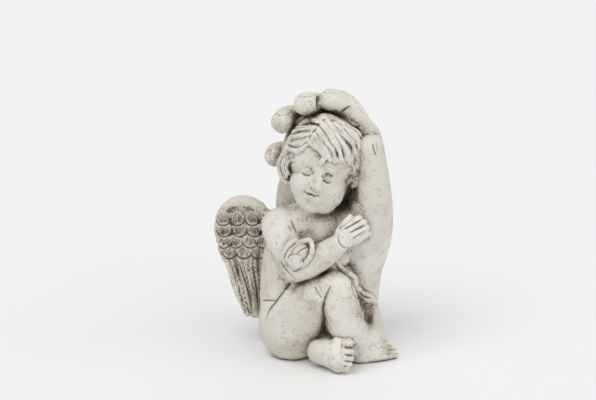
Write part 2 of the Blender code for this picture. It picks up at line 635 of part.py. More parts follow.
def keep_fine(form, points, fine):
    """Weighs the skin so that it keeps more faces near these points."""
    tree = KDTree(len(fine))
    for i, point in enumerate(fine):
        tree.insert(point, i)
    tree.balance()
    plain = form.vertex_groups.new(name="plain")
    for i, point in enumerate(points):
        weight = 1.0 if tree.find(point)[2] > FINE_REACH else 0.5
        plain.add([i], weight, "REPLACE")
    return plain.name


def main():
    for old in list(bpy.data.objects):
        bpy.data.objects.remove(old)
    flesh, face, detail = Clay(), Clay(), Clay()
    for shape in (giant_hand, giant_fingers, trunk, near_arm, far_arm, near_leg, far_leg, head):
        shape(flesh)
    head(face)
    for shape in (near_hand, far_toes, near_toes, back_hair, front_hair, drapery):
        shape(detail)
    wing(detail, near_wing_place)
    wing(detail, far_wing_place)
    softened = fused("flesh", flesh, FLESH_VOXEL, FLESH_SOFTENING, strokes=face_strokes())
    strokes = body_strokes() + digit_strokes() + hair_strokes() + wing_strokes()
    points, faces = fused("detail", detail, DETAIL_VOXEL, DETAIL_SOFTENING, softened, strokes)
    mesh = bpy.data.meshes.new("angel_statue")
    mesh.from_pydata(points * UNIT, [], faces)
    statue = bpy.data.objects.new("angel_statue", mesh)
    bpy.context.scene.collection.objects.link(statue)
    cut_flat(statue)
    uncut = statue.evaluated_get(bpy.context.evaluated_depsgraph_get()).data
    reduce = statue.modifiers.new("fewer faces", "DECIMATE")
    reduce.ratio = TRIANGLES / sum(len(p.vertices) - 2 for p in uncut.polygons)
    reduce.vertex_group = keep_fine(statue, points, np.concatenate(detail.points + face.points))
    reduce.vertex_group_factor = FINE_FACTOR
    mesh.materials.append(cast_stone())


main()
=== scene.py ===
import math
import random

import bmesh
import bpy
import numpy as np
from mathutils import Matrix, Vector, noise
from mathutils.bvhtree import BVHTree


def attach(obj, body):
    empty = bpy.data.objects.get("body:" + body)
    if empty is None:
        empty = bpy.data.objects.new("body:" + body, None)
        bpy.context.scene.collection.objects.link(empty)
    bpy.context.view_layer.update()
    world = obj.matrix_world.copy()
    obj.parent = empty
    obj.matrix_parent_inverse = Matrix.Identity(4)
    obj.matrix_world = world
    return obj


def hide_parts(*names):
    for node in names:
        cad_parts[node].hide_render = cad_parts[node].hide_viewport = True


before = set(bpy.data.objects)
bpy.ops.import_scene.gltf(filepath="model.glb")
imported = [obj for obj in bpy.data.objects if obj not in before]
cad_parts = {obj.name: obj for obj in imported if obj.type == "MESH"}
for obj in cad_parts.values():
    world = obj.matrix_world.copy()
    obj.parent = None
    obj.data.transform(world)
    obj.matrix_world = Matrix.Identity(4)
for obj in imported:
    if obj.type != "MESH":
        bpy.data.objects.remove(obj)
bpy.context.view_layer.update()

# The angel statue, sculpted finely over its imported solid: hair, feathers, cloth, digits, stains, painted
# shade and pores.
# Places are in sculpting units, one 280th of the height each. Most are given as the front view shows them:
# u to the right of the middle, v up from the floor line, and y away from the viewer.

HEIGHT = 0.280  # floor to the top of the curled forefinger, in metres
DESIGN_HEIGHT = 280.0  # the same, in sculpting units
UNIT = HEIGHT / DESIGN_HEIGHT

VIEW_TILT = math.radians(15)  # the front view looks down this much
VIEW_DISTANCE = 1407.0
VIEW_MIDDLE = (-24.0, 159.0)  # u and v where the front view's line of sight passes
LENS = 85  # in millimetres

FLESH_VOXEL = 1.2  # the grid on which the soft forms are fused
FLESH_SOFTENING = 8  # rounds of smoothing
DETAIL_VOXEL = 0.75  # the same for hair, wings, cloth and small digits
DETAIL_SOFTENING = 3
TRIANGLES = 196000
FINE_FACTOR = 0.000004  # how strongly fine places keep their faces
FINE_STEPS = 5  # from plain to fine

HEAD_CENTRE = (0.5, 201.0, -8.0)  # u, v, y
HEAD_ROLL = math.radians(19)  # leans on the thumb
HEAD_YAW = math.radians(-4)
HEAD_PITCH = math.radians(6)
SKULL = (33.0, 36.0, 37.0)
FACE_MIDDLE = 0.9  # the face's middle line, left of the head's
EYES_UP = -18.6  # seen from the head's centre
NOSE_UP = -29.0
MOUTH_UP = -38.6
HAIR_CENTRE = (-1.0, -4.0, 4.0)
HAIR = (38.0, 38.5, 41.0)  # the middle of the locks' thickness
CAP_DEPTH = 1.1  # how far the plain cap lies under it
SKIN_DEGREE = 0.6  # units along the hair for each degree round it
RIGHT_LOCKS = 7
LEFT_LOCKS = 5
BACK_LOCKS = 11
BACK_SWEEP = 112  # degrees that the locks behind reach round each side
STRANDS = 4  # fine grooves along each lock

LOCK_GROOVE = 1.35  # depth of the grooves between the locks
PARTING = [(-3, 236.5), (-5.6, 231), (-10.6, 225.5), (-13, 220.5), (-14.8, 216)]
RIGHT_ROOTS = [(20.5, 231.5), (13, 235.5), (5.5, 238), (-1.5, 237), (-6, 231), (-10.5, 225), (-14, 218.5)]
RIGHT_ENDS = [(36.5, 212), (35, 202), (28, 194.5), (20, 198.5), (13.5, 197), (8, 199), (3, 201)]
LEFT_ENDS = [(-26, 236), (-34, 227.5), (-37, 222), (-38, 217), (-38.5, 212)]
SMOOTH_MASS = [(19, 227), (28, 218), (32.5, 206)]
HOOK = [(-13.5, 219), (-6, 214.5), (0.5, 208.5), (2.5, 202), (-1.5, 196)]
CURLS = (
    [(-24, 208.5), (-35, 208), (-42, 198.5), (-42.5, 190), (-39.4, 181), (-35, 177)],
    [(-25, 204), (-33.5, 203), (-38, 196.7), (-38.3, 189), (-36, 182.5)],
    [(-28, 199.5), (-33.5, 197), (-35, 191.6), (-34, 185.7)],
)
CROWN = [(-6, 238), (2, 241), (11, 240), (20, 235)]
LOCK_BED = [(4, 203), (12, 200.5), (21, 200), (29, 200)]  # fills between the locks' ends
RINGLETS = (  # short curls on the thumb's side, each a line of u, v and its y
    ([(25.5, 193.5), (30, 192.5), (31.5, 188.5), (28, 186)], -26),
    ([(33, 190.5), (36.5, 187), (35.5, 182), (31.5, 181.5)], -21),
    ([(28, 182.5), (32.5, 179.5), (33.5, 175), (30, 172.5)], -21),
)

NEAR_WING = (-56.0, 145.0)  # u, v of its root
WING_FRONT = 15.0  # the wing lies behind this y
WING_OVERLAP = 8.0  # and reaches this far beyond its root
WING_TOP = 22.0  # all of a wing lies below this, over its root
WING_ROOM = 9.0  # and so near to its own middle plane
COVERTS = (
    (-4.5, (-43, -29, -13.5, 0)),
    (-15.5, (-41.5, -26.5, -11.7, 2)),
    (-27.0, (-42, -31, -16, -3)),
    (-37.5, (-36.5, -22, -8)),
)  # rows of short feathers on a wing: how far up, and where across
COVERT = (8.2, 2.8, 8.6)  # radii of a short feather
COVERT_LEAN = -24.0  # degrees, its lower edge outwards
FAINT_COVERTS = (-37, -25, -13, -3)  # where the unclear feathers over them lie across the wing
FLIGHT_TOPS = (-38, -24.5, -12, 0)  # where the long feathers begin and end across the wing
FLIGHT_ENDS = (-17.5, -11, -5, 2)
SHAFT_UPS = (-46, -63, -80, -99)  # how far up the next two tables' places lie
SHAFTS = ((-34.4, -28.4, -23.8, -18.6), (-21.5, -17.4, -14, -12), (-10.5, -8.6, -7, -6), (0, 0.5, 1, 2))
GAPS = ((-28.5, -22.6, -17.3, -13.6), (-14.5, -11.6, -9, -8), (-4.5, -3.6, -3, -2.4))
RECESS_LOOKS = ((5, 1.6), (36, 0.7))  # rounds that even the skin out, weight of what lies under the result
# The next four set the ray-cast shade that is painted into the colour.
SHADE_CELL = 2.4  # corners this near each other share one look at their surroundings
SHADE_RAYS = 28
SHADE_REACH = 26.0  # how far away a form still shades
SHADE_LIFT = 0.8  # the looks start so far over the skin
PAINTED_SHADE_STRENGTH = 1.3  # how strongly the ray-cast shade is painted into the colour, as dark brown
# how much darker the wings are made
WING_DARKENING = 0.32
FACE_WEAR = 0.12  # how much of the stain and the painted shade is taken off the face
WORN_FACE = (4, 24, -24)  # the middle of the clean skin, as on_head takes it
WORN_REACH = (24, 34)  # it is wholly clean up to here, and not at all beyond there
DRAW_SEED = 7
STROKE_REACH = 2.6  # how far aside a stroke is felt, over its width
WAVER = (0.22, 0.11)  # height and fineness of the skin's slow unevenness
RAGGED = (0.7, 0.5, 4.5)  # the same of the edge at the floor, and how far up it goes
PITS = 420
PIT_WIDTH = (0.4, 0.8)
PIT_DEPTH = (0.4, 1.0)
CARVED_FACING = 0.25  # skin whose outward y is below this is carved from the front
PATCH_FACING = 0.3  # the same for the patches of stain and of painted shade
NAILS_FROM = 190.0  # nails are carved from above, over this z
HAIR_REACH = (0.9, 1.16)  # the skin of the hair, as shares of its ellipsoid's reach
PAINTED_FLOOR_SHADOW = (0.9, 2.8)  # strength of the painted contact shadow, a dark line at the floor, and how far up it goes
STAIN_AND_SHADE_PATCHES = (
    (-15, 130, 13, 0.32), (-36, 157, 9, 0.35), (-43, 90, 9, 0.28), (-41, 77, 9, 0.42),
    (-11, 53, 12, 0.46), (12, 36, 9, 0.18), (-35, 17, 9, 0.46), (-22, 10, 10, 0.25),
    (2, 32, 7, 0.6), (30, 20, 9, 0.22), (45, 46, 11, 0.8), (40, 60, 6, 0.3),
    (40, 8, 8, 0.3), (57, 14, 7, 0.25), (70, 12, 6, 0.2), (28, 40, 7, 0.2),
    (38, 63, 8, 0.3), (24, 247, 7, 0.3), (-17, 249, 11, 0.28), (-39, 236, 11, 0.28),
    (-47, 202, 12, 0.42), (51, 229, 5, 0.3), (-5, 94, 10, 0.2), (31, 124, 9, 0.2),
    (63, 8, 12, 0.25), (28, 2, 8, 0.3), (-8, 172, 12, 0.2), (31, 165, 9, 0.8),
    (29, 182, 6, 0.4), (23, 153, 8, 0.6), (8, 147, 9, 0.35), (-8, 150, 8, 0.2),
    (-12, 206, 7, 0.3), (6, 195, 8, 0.22), (20, 194, 7, 0.22), (-30, 190, 6, 0.3),
    (-24, 70, 14, 0.12), (3, 84, 10, 0.15), (29, 91, 6, 0.3), (-80, 151, 12, 0.22),
    (12, 246, 9, 0.3), (-10, 243, 8, 0.25),
)  # patches of stain and of painted shade (such as the shadow under the fringe and the forefinger, between face and thumb, under the chin and between thigh and calf) in the front view: u, v, radius, strength
FAR_WING = (-38, 48, 114)  # x, y and z of the hidden wing's root
FAR_WING_WAY = (-0.75, 0.66)  # where it points, left and back
FAR_WING_SIZE = (0.88, 0.86)  # its width and height over the near one's


def placed(name, data):
    """A new object in the scene."""
    thing = bpy.data.objects.new(name, data)
    bpy.context.scene.collection.objects.link(thing)
    return thing


def view_axes():
    """The front view's line of sight, its upward direction, and the place it looks at."""
    cosine, sine = math.cos(VIEW_TILT), math.sin(VIEW_TILT)
    return (0, cosine, -sine), (0, sine, cosine), (VIEW_MIDDLE[0], 0, VIEW_MIDDLE[1] / cosine)


def seen(u, v, y, *rest):
    """The place that the front view shows at u, v, at depth y."""
    sight, upward, middle = map(Vector, view_axes())
    eye = middle - sight * VIEW_DISTANCE
    across, up = u - VIEW_MIDDLE[0], v - VIEW_MIDDLE[1]
    ray = sight + Vector((across, 0, 0)) / VIEW_DISTANCE + upward * up / VIEW_DISTANCE
    place = eye + ray * ((y - eye.y) / ray.y)
    return (*place, *rest)


def shown(points):
    """Where the front view shows each point: u, v, and its distance from the eye along the line of sight."""
    sight, upward, middle = map(np.array, view_axes())
    ways = points - (middle - sight * VIEW_DISTANCE)
    far = ways @ sight
    u = VIEW_MIDDLE[0] + ways[:, 0] / far * VIEW_DISTANCE
    v = VIEW_MIDDLE[1] + ways @ upward / far * VIEW_DISTANCE
    return u, v, far


def head_axes():
    """Rotation from head directions (to its left, out of its back, up) to the statue's."""
    return (
        Matrix.Rotation(HEAD_ROLL, 3, "Y")
        @ Matrix.Rotation(HEAD_YAW, 3, "Z")
        @ Matrix.Rotation(HEAD_PITCH, 3, "X")
    )


def on_head(left, front, up, *rest):
    """The place that lies so far to the head's left, in front of and above its centre."""
    place = Vector(seen(*HEAD_CENTRE)) + head_axes() @ Vector((left, -front, up))
    return (*place, *rest)


def unit_rows(rows):
    """Each row scaled to length one."""
    return rows / np.maximum(np.linalg.norm(rows, axis=1), 1e-12)[:, None]


class Clay:
    """Closed forms that overlap, gathered before they are fused."""

    def __init__(self):
        self.points, self.faces, self.count = [], [], 0

    def add(self, points, faces):
        self.points.append(np.asarray(points, float))
        self.faces += [[i + self.count for i in face] for face in faces]
        self.count += len(points)

    def ball(self, centre, radii, turn=None):
        """An ellipsoid. turn is its rotation."""
        sphere = bmesh.new()
        bmesh.ops.create_icosphere(sphere, subdivisions=4, radius=1)
        turn = np.array(turn or Matrix.Identity(3))
        points = np.array([v.co for v in sphere.verts]) * radii @ turn.T + centre
        self.add(points, [[v.index for v in f.verts] for f in sphere.faces])
        sphere.free()

    def limb(self, stations, flat=1.0, facing=None, sides=16, steps=5):
        """A round-ended tube through stations (x, y, z, radius). flat is its thickness over its width,
        and facing the direction of the thickness."""
        line = spline(np.array(stations, float), 2 * steps)
        sides *= 2
        centres, radii = line[:, :3], line[:, 3]
        ahead = unit_rows(np.gradient(centres, axis=0))
        facing = np.array(facing if facing is not None else least_along(ahead.mean(0)), float)
        rings = []
        turns = np.linspace(0, 2 * math.pi, sides, endpoint=False)
        bulge = [math.radians(a) for a in (78, 65, 52, 39, 26, 13)]
        rows = [(0, -math.sin(b), math.cos(b)) for b in bulge]
        rows += [(i, 0, 1) for i in range(len(centres))]
        rows += [(len(centres) - 1, math.sin(b), math.cos(b)) for b in reversed(bulge)]
        for i, out, share in rows:
            facing = facing - ahead[i] * (facing @ ahead[i])
            facing /= np.linalg.norm(facing)
            side = np.cross(ahead[i], facing)
            centre = centres[i] + ahead[i] * out * radii[i] * (1 + flat) / 2
            ring = np.outer(np.cos(turns), side) + np.outer(np.sin(turns), facing) * flat
            rings.append(centre + ring * radii[i] * share)
        tip = (1 + flat) / 2
        ends = [centres[0] - ahead[0] * radii[0] * tip, centres[-1] + ahead[-1] * radii[-1] * tip]
        faces = []
        for row in range(len(rings) - 1):
            for k in range(sides):
                a, b = row * sides + k, row * sides + (k + 1) % sides
                faces.append([a, b, b + sides, a + sides])
        last, total = (len(rings) - 1) * sides, len(rings) * sides
        for k in range(sides):
            faces.append([total, (k + 1) % sides, k])
            faces.append([total + 1, last + k, last + (k + 1) % sides])
        self.add(np.concatenate([*rings, ends]), faces)

    def drawn(self, stations, place=seen, **form):
        """A limb whose stations are three coordinates that place reads, and a radius."""
        self.limb([place(*s) for s in stations], **form)


def least_along(direction):
    """The axis that lies least along direction."""
    axis = np.zeros(3)
    axis[np.abs(direction).argmin()] = 1
    return axis


def spline(stations, steps):
    """A smooth line through the stations, with so many steps between each two."""
    if len(stations) < 3:
        share = np.linspace(0, 1, steps + 1)[:, None]
        return stations[0] * (1 - share) + stations[-1] * share
    before = 2 * stations[0] - stations[1]
    after = 2 * stations[-1] - stations[-2]
    p = np.vstack([before, stations, after])
    rows = []
    for i in range(1, len(p) - 2):
        for t in np.linspace(0, 1, steps, endpoint=False):
            rows.append(
                0.5
                * (
                    2 * p[i]
                    + (p[i + 1] - p[i - 1]) * t
                    + (2 * p[i - 1] - 5 * p[i] + 4 * p[i + 1] - p[i + 2]) * t**2
                    + (3 * p[i] - p[i - 1] - 3 * p[i + 1] + p[i + 2]) * t**3
                )
            )
    return np.array(rows + [stations[-1]])


def fused(name, clay, voxel, softening, more=None):
    """The clay's outer skin, softened, as points and four-cornered faces."""
    points, faces = np.concatenate(clay.points), list(clay.faces)
    if more is not None:
        faces += (more[1] + len(points)).tolist()
        points = np.concatenate([points, more[0]])
    mesh = bpy.data.meshes.new(name)
    mesh.from_pydata(points * UNIT, [], faces)
    form = placed(name, mesh)
    remesh = form.modifiers.new("fuse", "REMESH")
    remesh.mode, remesh.voxel_size = "VOXEL", voxel * UNIT
    smooth = form.modifiers.new("soften", "SMOOTH")
    smooth.factor, smooth.iterations = 0.5, softening
    skin = form.evaluated_get(bpy.context.evaluated_depsgraph_get()).to_mesh()
    points = np.empty(len(skin.vertices) * 3)
    skin.vertices.foreach_get("co", points)
    corners = np.empty(len(skin.loops), dtype=np.int32)
    skin.loops.foreach_get("vertex_index", corners)
    bpy.data.objects.remove(form)
    return largest_shell(points.reshape(-1, 3) / UNIT, corners.reshape(-1, 4))


def largest_shell(points, quads):
    """The shell with the most corners: closed hollows and loose crumbs go."""
    label = np.arange(len(points))
    a, b = quads.ravel(), np.roll(quads, -1, axis=1).ravel()
    while True:
        before = label.copy()
        low = np.minimum(label[a], label[b])
        np.minimum.at(label, a, low)
        np.minimum.at(label, b, low)
        label = label[label]
        if (label == before).all():
            break
    names, counts = np.unique(label, return_counts=True)
    keep = label == names[counts.argmax()]
    number = np.cumsum(keep) - 1
    return points[keep], number[quads[keep[quads[:, 0]]]]


def normals_of(points, quads):
    """Each corner's outward direction."""
    faces = np.cross(points[quads[:, 2]] - points[quads[:, 0]], points[quads[:, 3]] - points[quads[:, 1]])
    normals = np.zeros_like(points)
    for axis in range(3):
        for corner in range(4):
            normals[:, axis] += np.bincount(quads[:, corner], faces[:, axis], len(points))
    return unit_rows(normals)


def in_front(u, v, far, reach=5.0, cell=2.0):
    """Which points nothing hides in the front view."""
    column = np.floor(u / cell).astype(int)
    row = np.floor(v / cell).astype(int)
    column -= column.min()
    row -= row.min()
    nearest = np.full((column.max() + 1, row.max() + 1), np.inf)
    np.minimum.at(nearest, (column, row), far)
    return far < nearest[column, row] + reach


def front_view(points, normals, facing):
    """Where the front view shows each point, u and v, and which ones it reaches: nothing hides them, and
    they turn away from it less than facing."""
    u, v, far = shown(points)
    return u, v, in_front(u, v, far) & (normals[:, 1] < facing)


def press_of(u, v, chosen, strokes):
    """How deep strokes press each of the chosen points. A stroke is a line of u, v, its depth and its width,
    and it thins out at both ends. A negative depth raises. Where strokes cross, the deepest counts."""
    deep, high = np.zeros(len(u)), np.zeros(len(u))
    places = np.flatnonzero(chosen)
    places = places[np.argsort(u[places], kind="stable")]
    us, vs = u[places], v[places]
    for line, depth, width in strokes:
        line = spline(np.array(line, float), 6)
        low, high_end = line.min(0) - STROKE_REACH * width, line.max(0) + STROKE_REACH * width
        start, end = np.searchsorted(us, (low[0], high_end[0]))
        inside = start + np.flatnonzero((vs[start:end] > low[1]) & (vs[start:end] < high_end[1]))
        if not len(inside):
            continue
        off = np.full(len(inside), np.inf)
        along_line = np.zeros(len(inside))
        for i, (a, b) in enumerate(zip(line[:-1], line[1:])):
            along = b - a
            at = np.stack([us[inside] - a[0], vs[inside] - a[1]], axis=1)
            share = np.clip(at @ along / max(along @ along, 1e-9), 0, 1)
            here = np.linalg.norm(at - share[:, None] * along, axis=1)
            nearer = here < off
            off[nearer] = here[nearer]
            along_line[nearer] = (i + share[nearer]) / (len(line) - 1)
        full = np.clip(np.minimum(along_line, 1 - along_line) * 5, 0, 1)
        press = depth * (0.2 + 0.8 * full) * np.exp(-((off / (width * (0.5 + 0.5 * full))) ** 2))
        spot = places[inside]
        if depth > 0:
            deep[spot] = np.maximum(deep[spot], press)
        else:
            high[spot] = np.minimum(high[spot], press)
    return deep + high


def on_face(left, up):
    """u, v of a place on the face, from its middle line and the head's centre."""
    left += FACE_MIDDLE
    cosine, sine = math.cos(HEAD_ROLL), math.sin(HEAD_ROLL)
    return (HEAD_CENTRE[0] + cosine * left + sine * up, HEAD_CENTRE[1] - sine * left + cosine * up)


def on_both_sides(rows):
    """Strokes on the face and their mirror images. A row is a height, a line from there, depth and width."""
    strokes = []
    for side in (-1, 1):
        for up, places, depth, width in rows:
            strokes.append(([on_face(side * x, up + y) for x, y in places], depth, width))
    return strokes


def face_forms():
    """Soft eye hollows, brows, bridge of the nose, lips and chin, before the finer strokes."""
    hollow = (EYES_UP, ((7.5, 1.2), (11, 2.0), (14.5, 0.8)), 3.4, 4.2)
    eyeball = (EYES_UP, ((8, 0), (10.8, 0.5), (13.4, -0.3)), -2.2, 3.2)
    brow = (EYES_UP, ((4.5, 7.6), (10.5, 9.8), (16.5, 6.8)), -1.0, 3)
    strokes = on_both_sides((hollow, eyeball, brow))
    bridge = [on_face(0, EYES_UP + 6), on_face(0, NOSE_UP + 5)]
    upper = [on_face(x, MOUTH_UP + y) for x, y in ((-5, 1.8), (0, 2.6), (5, 1.8))]
    lower = [on_face(x, MOUTH_UP + y) for x, y in ((-3.5, -2.4), (0, -3), (3.5, -2.4))]
    under = [on_face(x, MOUTH_UP + y) for x, y in ((-3.5, -6), (0, -6.6), (3.5, -6))]
    return strokes + [(bridge, -1.2, 2.4), (upper, -1.4, 1.8), (lower, -1.8, 2), (under, 1.0, 2.2)]


def face_strokes():
    """Closed lids, nostrils, and the line between the lips."""
    lashes = ((5.8, -0.6), (8.2, -2.5), (10.8, -3.2), (13.6, -2.9), (16.2, -1.4))
    rows = (
        (EYES_UP, lashes, 1.3, 0.8),
        (EYES_UP, ((6.6, 3.6), (9.4, 5.0), (12.6, 4.9), (15.8, 3.2)), 0.55, 1.1),
        (EYES_UP, ((5.0, 3.4), (5.6, 0.6), (6.4, -1.0)), 0.8, 1.7),
        (EYES_UP, ((7.5, -5.2), (10.8, -5.9), (14, -5.0)), -0.45, 1.1),
        (NOSE_UP, ((4.6, 3.0), (5.9, 0.8), (5.2, -1.8)), 0.5, 1.0),
        (NOSE_UP, ((1.5, -3.0), (2.4, -3.3), (3.4, -2.9)), 0.8, 0.8),
        (MOUTH_UP, ((6.0, 0.6), (7.0, 1.1), (7.8, 1.8)), 0.5, 1.1),
    )
    strokes = on_both_sides(rows)
    parting = ((-7.2, 1.1), (-4, 0), (-1.2, 0.3), (0, -0.2), (1.2, 0.3), (4, 0), (7.2, 1.1))
    strokes.append(([on_face(x, MOUTH_UP + y) for x, y in parting], 1.3, 0.8))
    strokes.append(([on_face(0, NOSE_UP - 4.0), on_face(0, MOUTH_UP + 3.2)], 0.25, 1.1))
    bow = ((-5.6, 2.6), (-2, 4.2), (0, 3.2), (2, 4.2), (5.6, 2.6))
    strokes.append(([on_face(x, MOUTH_UP + y) for x, y in bow], 0.25, 1.0))
    return strokes


def body_forms():
    """Folds of the child's skin at the armpit, hip and knee."""
    armpit = [(-31, 140), (-27, 131), (-22, 120), (-20, 115)]
    hip = [(-56, 42), (-46.5, 56), (-36, 70), (-32, 76)]
    knee = [(10, 75), (2.5, 59), (1, 50), (2.5, 38), (4, 22)]
    knee_tuck = [(-7, 73), (-3, 66), (1.5, 57)]
    ankle = [(48, 38), (46.8, 31), (47.4, 26), (54, 23), (62, 19)]
    return [(armpit, 0.9, 2.4), (hip, 2.2, 2.6), (knee, 2.6, 2.8), (knee_tuck, 0.9, 1.8), (ankle, 1.7, 2.6)]


def body_strokes():
    """Narrow creases and nicks in the child's skin."""
    return [
        ([(-31, 139), (-28, 132), (-25.6, 125)], 0.75, 0.65),
        ([(-34, 134), (-31.8, 130), (-29.6, 126)], 0.8, 0.7),
        ([(-56.5, 41.5), (-52, 49.5), (-46.5, 56.5), (-36, 70.5)], 1.2, 0.7),
        ([(-38, 68), (-32, 75), (-27, 79.5)], 1.0, 1.2),
        ([(-60, 58), (-53, 58.4), (-45.4, 57.4)], 1.4, 0.9),
        ([(9.4, 74), (5.6, 67), (3, 60), (1.4, 52)], 0.8, 0.65),
        ([(3, 61), (1.2, 50), (2.6, 38), (3.8, 28)], 1.3, 0.95),
        ([(-8, 74), (-4.6, 67), (0.5, 60)], 0.9, 0.7),
        ([(-3.4, 75), (-1, 69), (1.6, 63)], 0.7, 0.6),
        ([(-57, 114), (-54.6, 110.5), (-53, 106.5)], 0.7, 0.7),
        ([(-60, 116), (-50, 104), (-36, 82)], 0.8, 0.9),
        ([(-47, 118), (-45.8, 115.6), (-45, 112.6)], 0.7, 0.6),
        ([(15.6, 123), (18, 115), (25.6, 109)], 1.2, 0.9),
        ([(24, 112.6), (28, 108.6), (31, 107)], 0.7, 0.8),
    ]


def digit_strokes():
    """Gaps between the small hand's fingers and between the toes, and the sole's creases."""
    gaps = [[(15, 129), (33, 142.5)], [(21, 129), (40, 139.5)]]
    gaps += [[(26, 125), (44, 134.6)], [(29, 119), (45.4, 129)]]
    strokes = [(gap, 1.3, 0.85) for gap in gaps]
    strokes += [([(21, v + 0.6), (32, v - 0.8)], 1.0, 0.9) for v in (11.5, 3.8, -2.5, -7.7)]
    strokes += [([(20, 21), (19.4, 8), (17.6, -9)], 0.6, 1.3), ([(12, -10), (8, 6), (9, 22)], 0.5, 2.4)]
    strokes += [([(65, v), (71, v + 0.6), (78, v + 0.4)], 1.2, 0.9) for v in (4.5, 8.5)]
    return strokes


def giant_strokes():
    """Nails, joint creases and lines of the large hand, from the front."""
    return [
        ([(51.0, 217), (51.6, 209.6), (54.8, 202.4)], 1.4, 0.85),
        ([(54.2, 218.4), (55.0, 212), (55.6, 206.4)], 0.8, 0.7),
        ([(40, 223.4), (50, 224.6), (60, 225.2)], 0.9, 1.0),
        ([(32.6, 158.8), (37, 155.4), (42.4, 150.6)], 0.9, 0.8),
        ([(35, 154), (38, 151), (40.6, 147)], 0.6, 0.7),
        ([(18.6, 245.4), (22.6, 249.4), (29.4, 253.4)], 1.5, 1.3),
        ([(27, 240), (33, 236.6), (41, 231)], 0.8, 1.6),
        ([(-2.4, 271), (-4.4, 262), (-4.0, 247)], 1.8, 1.1),
        ([(-15, 259), (-11, 257.4), (-8, 254)], 0.8, 0.7),
        ([(-14, 256), (-10.4, 253.8), (-8, 250)], 0.7, 0.6),
        ([(-27, 262), (-20, 265.6), (-10, 266)], 0.6, 0.9),
        ([(-39, 247), (-44, 243.4), (-47.8, 236.6), (-47, 229)], 0.7, 0.8),
        ([(-53, 207), (-51, 199), (-46, 194)], 0.6, 0.9),
    ]


def giant_hand(clay):
    """The large right hand: wrist, back, palm behind the child, and thumb beside its head."""
    across = Matrix.Rotation(math.radians(-18), 3, "Z") @ Vector((0, 1, 0))
    wrist = [(24, 32, -14, 43), (24, 32, 10, 40), (24, 33, 40, 34), (24, 36, 72, 32), (22, 40, 104, 36)]
    clay.limb(wrist, flat=0.72, facing=across, sides=32)
    palm = [(24, 36, 56, 32), (21, 40, 96, 42), (11, 42, 138, 50), (7, 44, 172, 50), (8, 45, 190, 44)]
    clay.limb(palm, flat=0.42, facing=across, sides=32)
    clay.ball((-17, 44, 150), (30, 19, 50))
    clay.drawn([(34, 56, 8, 22), (36, 88, 4, 24), (38, 108, 2, 28), (38, 128, 0, 32)], sides=24)
    clay.ball(seen(44, 165, 18), (18, 26, 46))
    clay.ball(seen(34, 203, 44), (13, 10, 15))
    thumb = [(38, 92, 10, 22), (46, 124, -2, 24), (50, 157, -12, 20.5)]
    thumb += [(51, 183, -16, 15.8), (49, 211, -17, 13)]
    clay.drawn(thumb, sides=24)


def finger_stations():
    """The four fingers, each from the wrist over its knuckle and forward over the child's head."""
    forefinger = [(32, 100, 40, 15), (41, 160, 37, 16), (46, 200, 32, 17), (45, 221, 20, 14.5)]
    forefinger += [(37.5, 231.5, 12, 13.5), (31, 244, 5, 12.7), (23, 253.5, 0, 12.3), (14.5, 257.8, -4, 11.8)]
    forefinger += [(8, 259, -8, 11.2)]
    middle = [(26, 106, 50, 14), (24, 165, 55, 15.5), (22, 205, 56, 17), (19, 232, 46, 15.5)]
    middle += [(12, 245, 36, 13.3), (2, 252.5, 20, 12), (-8, 255, 4, 11.6), (-17, 255, -16, 11.3)]
    ring = [(16, 106, 54, 13), (6, 165, 60, 14.5), (0, 203, 62, 16.5), (-6, 228, 54, 14.5)]
    ring += [(-14, 238, 44, 13), (-24, 242.5, 28, 11.8), (-33.5, 241.5, 8, 11.6), (-39.6, 237, -9, 11.4)]
    little = [(8, 104, 54, 12), (-10, 155, 61, 13.5), (-22, 190, 62, 15), (-32, 205, 54, 12.4)]
    little += [(-41, 207, 42, 11), (-46, 205.5, 26, 10.6), (-47.4, 202.5, 6, 10.3)]
    return forefinger, middle, ring, little


def giant_fingers(clay):
    """The large hand's fingers."""
    for finger in finger_stations():
        clay.drawn(finger, sides=20)


def nail_strokes():
    """Nails of the large fingers, from above."""
    strokes = []
    for *_, before, tip in finger_stations():
        end, start = Vector(seen(*tip[:3])).xy, Vector(seen(*before[:3])).xy
        ahead = (end - start).normalized() * tip[3]
        aside = Vector((-ahead.y, ahead.x))
        rim = ((-0.6, -0.9), (-0.62, 0.1), (-0.36, 0.5), (0, 0.62), (0.36, 0.5), (0.62, 0.1), (0.6, -0.9))
        root = ((-0.6, -0.9), (-0.3, -1.12), (0, -1.18), (0.3, -1.12), (0.6, -0.9))
        for line, depth in ((rim, 0.9), (root, 0.8)):
            strokes.append(([tuple(end + aside * a + ahead * b) for a, b in line], depth, 0.75))
    return strokes


def trunk(clay):
    """Torso, neck and seat."""
    clay.drawn([(-28, 35, 8, 35), (-31, 78, 6, 31), (-26, 112, 4, 30), (-20, 134, 2, 24)], sides=24)
    clay.ball(seen(-30, 36, 4), (34.5, 38, 39))
    clay.ball(seen(-4, 126, -8), (24, 20, 24))
    clay.ball(seen(8, 124, 2), (24, 24, 22))
    clay.drawn([(-14, 140, 0, 16), (-8, 160, -2, 15)])


def near_arm(clay):
    """The child's right arm, folded across to the thumb."""
    upper = [(-40, 132, -4, 20.5), (-34, 112, -16, 18.5), (-26, 92, -27, 15)]
    clay.drawn(upper, sides=20)
    fore = [(-25, 91, -29, 14), (-12, 96.5, -35, 14.5), (2, 104, -39, 13)]
    fore += [(13, 112, -40, 11), (19, 117, -40, 9.6)]
    clay.drawn(fore, sides=20)


def far_arm(clay):
    """The child's left arm, which shows little: shoulder, and elbow under the other forearm."""
    clay.drawn([(14, 132, 0, 18), (20, 112, -10, 15), (10, 98, -24, 13)])


